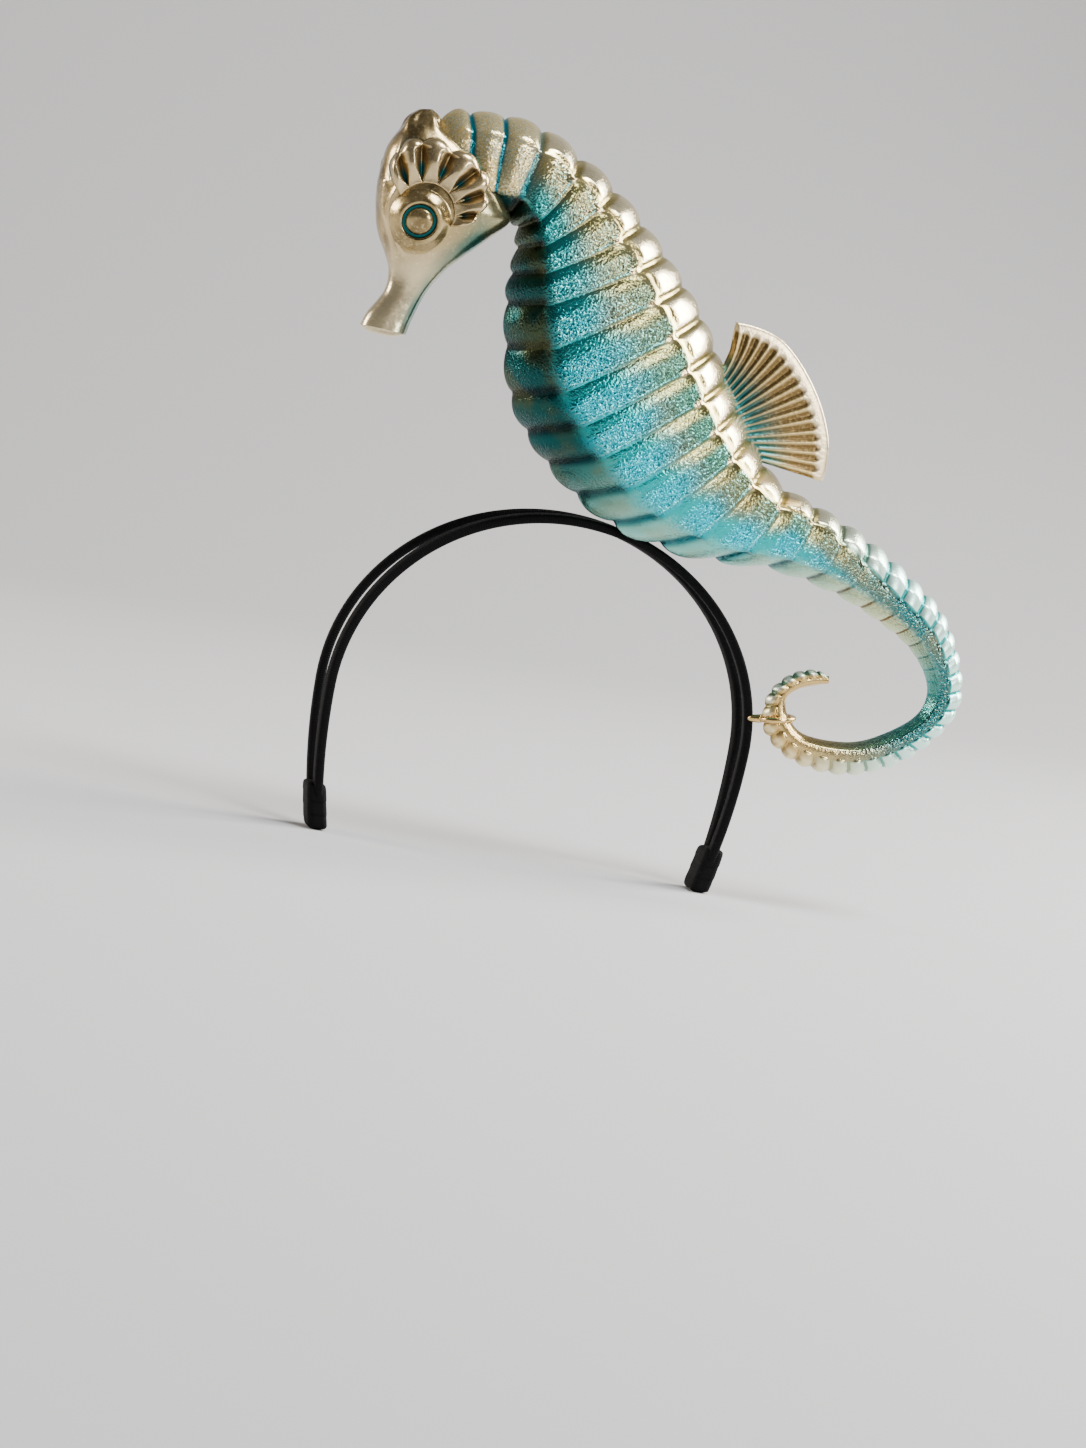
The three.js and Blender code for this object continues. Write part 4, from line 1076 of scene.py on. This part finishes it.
def make_gold_wire():
    """Polished gold wire, a little brushed."""
    material, shader, place = new_material("gold_wire")
    grain = place.noise(1500, 3)
    colour = place.flat(*WIRE_GOLD)
    feed(shader, "Base Color", colour.tint(srgb(*WIRE_BROWN), grain.rise(0.5, 0.7) * 0.5))
    feed(shader, "Metallic", 1.0)
    feed(shader, "Roughness", 0.18 + grain * 0.12)
    raise_by(shader, grain, 0.00008, 0.5)
    return material


gold_wire = make_gold_wire()
fit(make_tie_ring(), gold_wire, "gold_wire", "tail_tie")
fit(make_prong(), gold_wire, "gold_wire")


# The setting is a pale floor that sweeps up behind, under soft lights: a large key from the upper right, a
# small one in front, a small warm one from behind on the left, and a broad one overhead. The camera stands
# at the photograph's angle.

FLOOR_Z = cad_box[0][2]
SWEEP_START = 0.9
SWEEP_RADIUS = 1.0
FLOOR_NEAR = -2.2
FLOOR_FAR = 4.4
FLOOR_GREY = (186, 185, 185)
LIGHT_TARGET = np.array([0.02, -0.02, 0.03])
CAMERA_TURN = np.radians(-12)
CAMERA_RISE = np.radians(2.5)
CAMERA_ROLL = np.radians(10.9)
CAMERA_DISTANCE = 1.5
IMAGE_SIZE = np.array([1086, 1448])
PIXELS_PER_METRE = 2741
ORIGIN_PIXEL = np.array([571.3, 523.7])
SENSOR = 36


def make_floor(columns=24, rows=90, width=7.0):
    """A sheet: flat in front, then a quarter turn, then straight up."""
    along = np.linspace(FLOOR_NEAR, FLOOR_FAR, rows)
    bend = np.clip(along - SWEEP_START, 0, np.pi / 2 * SWEEP_RADIUS) / SWEEP_RADIUS
    beyond = np.maximum(along - SWEEP_START - np.pi / 2 * SWEEP_RADIUS, 0)
    y = np.minimum(along, SWEEP_START) + SWEEP_RADIUS * np.sin(bend)
    z = FLOOR_Z + SWEEP_RADIUS * (1 - np.cos(bend)) + beyond
    x = np.linspace(-width / 2, width / 2, columns)
    points = np.stack(np.broadcast_arrays(x, y[:, None], z[:, None]), -1)
    grid = np.arange(rows * columns).reshape(rows, columns)
    faces = np.stack([grid[:-1, :-1], grid[:-1, 1:], grid[1:, 1:], grid[1:, :-1]], -1).reshape(-1, 4)
    mesh = bpy.data.meshes.new("floor")
    mesh.from_pydata(points.reshape(-1, 3), [], faces)
    mesh.shade_smooth()
    floor = bpy.data.objects.new("floor", mesh)
    bpy.context.collection.objects.link(floor)
    material, shader, _ = new_material("pale_floor")
    feed(shader, "Base Color", srgb(*FLOOR_GREY))
    feed(shader, "Roughness", 0.85)
    mesh.materials.append(material)
    return floor


def add_light(name, place, size, power, colour):
    """A square soft light at a place, facing the middle of the seahorse."""
    data = bpy.data.lights.new(name, "AREA")
    data.size, data.energy, data.color = size, power, colour
    light = bpy.data.objects.new(name, data)
    bpy.context.collection.objects.link(light)
    light.matrix_world = facing(np.array(place), LIGHT_TARGET, np.array([0, 0, 1.0]))


def facing(place, target, up):
    """A matrix at a place that looks at a target: its columns are right, up and back."""
    back = unit(place - target)
    right = unit(np.cross(up, back))
    matrix = np.eye(4)
    matrix[:3] = np.stack([right, np.cross(back, right), back, place], -1)
    return matrix.T


make_floor()
add_light("key_right", (1.3, 0.2, 0.75), 0.9, 72, (1, 0.98, 0.94))
add_light("front_right", (0.75, -1.5, 0.4), 0.4, 14, (1, 1, 1))
add_light("rim_left", (-1.3, 0.4, 0.35), 0.4, 14, (1, 0.92, 0.82))
add_light("overhead", (0.45, -0.55, 1.45), 0.6, 38, (0.97, 0.98, 1))
world = bpy.data.worlds.new("studio")
world.use_nodes = True
world.node_tree.nodes["Background"].inputs["Color"].default_value = (0.2, 0.21, 0.23, 1)
world.node_tree.nodes["Background"].inputs["Strength"].default_value = 0.42
bpy.context.scene.world = world

back = np.array([
    np.sin(CAMERA_TURN) * np.cos(CAMERA_RISE),
    -np.cos(CAMERA_TURN) * np.cos(CAMERA_RISE),
    np.sin(CAMERA_RISE),
])
level_right = np.array([np.cos(CAMERA_TURN), np.sin(CAMERA_TURN), 0])
level_up = np.cross(back, level_right)
image_right = level_right * np.cos(CAMERA_ROLL) + level_up * np.sin(CAMERA_ROLL)
image_up = level_up * np.cos(CAMERA_ROLL) - level_right * np.sin(CAMERA_ROLL)
offset = (IMAGE_SIZE / 2 - ORIGIN_PIXEL) / PIXELS_PER_METRE
target = image_right * offset[0] - image_up * offset[1]
lens = bpy.data.cameras.new("photo_camera")
lens.sensor_fit = "VERTICAL"
lens.sensor_height = SENSOR
lens.lens = SENSOR * PIXELS_PER_METRE * CAMERA_DISTANCE / IMAGE_SIZE[1]
camera = bpy.data.objects.new("photo_camera", lens)
bpy.context.collection.objects.link(camera)
camera.matrix_world = facing(back * CAMERA_DISTANCE, target, image_up)
bpy.context.scene.camera = camera

bpy.context.view_layer.update()
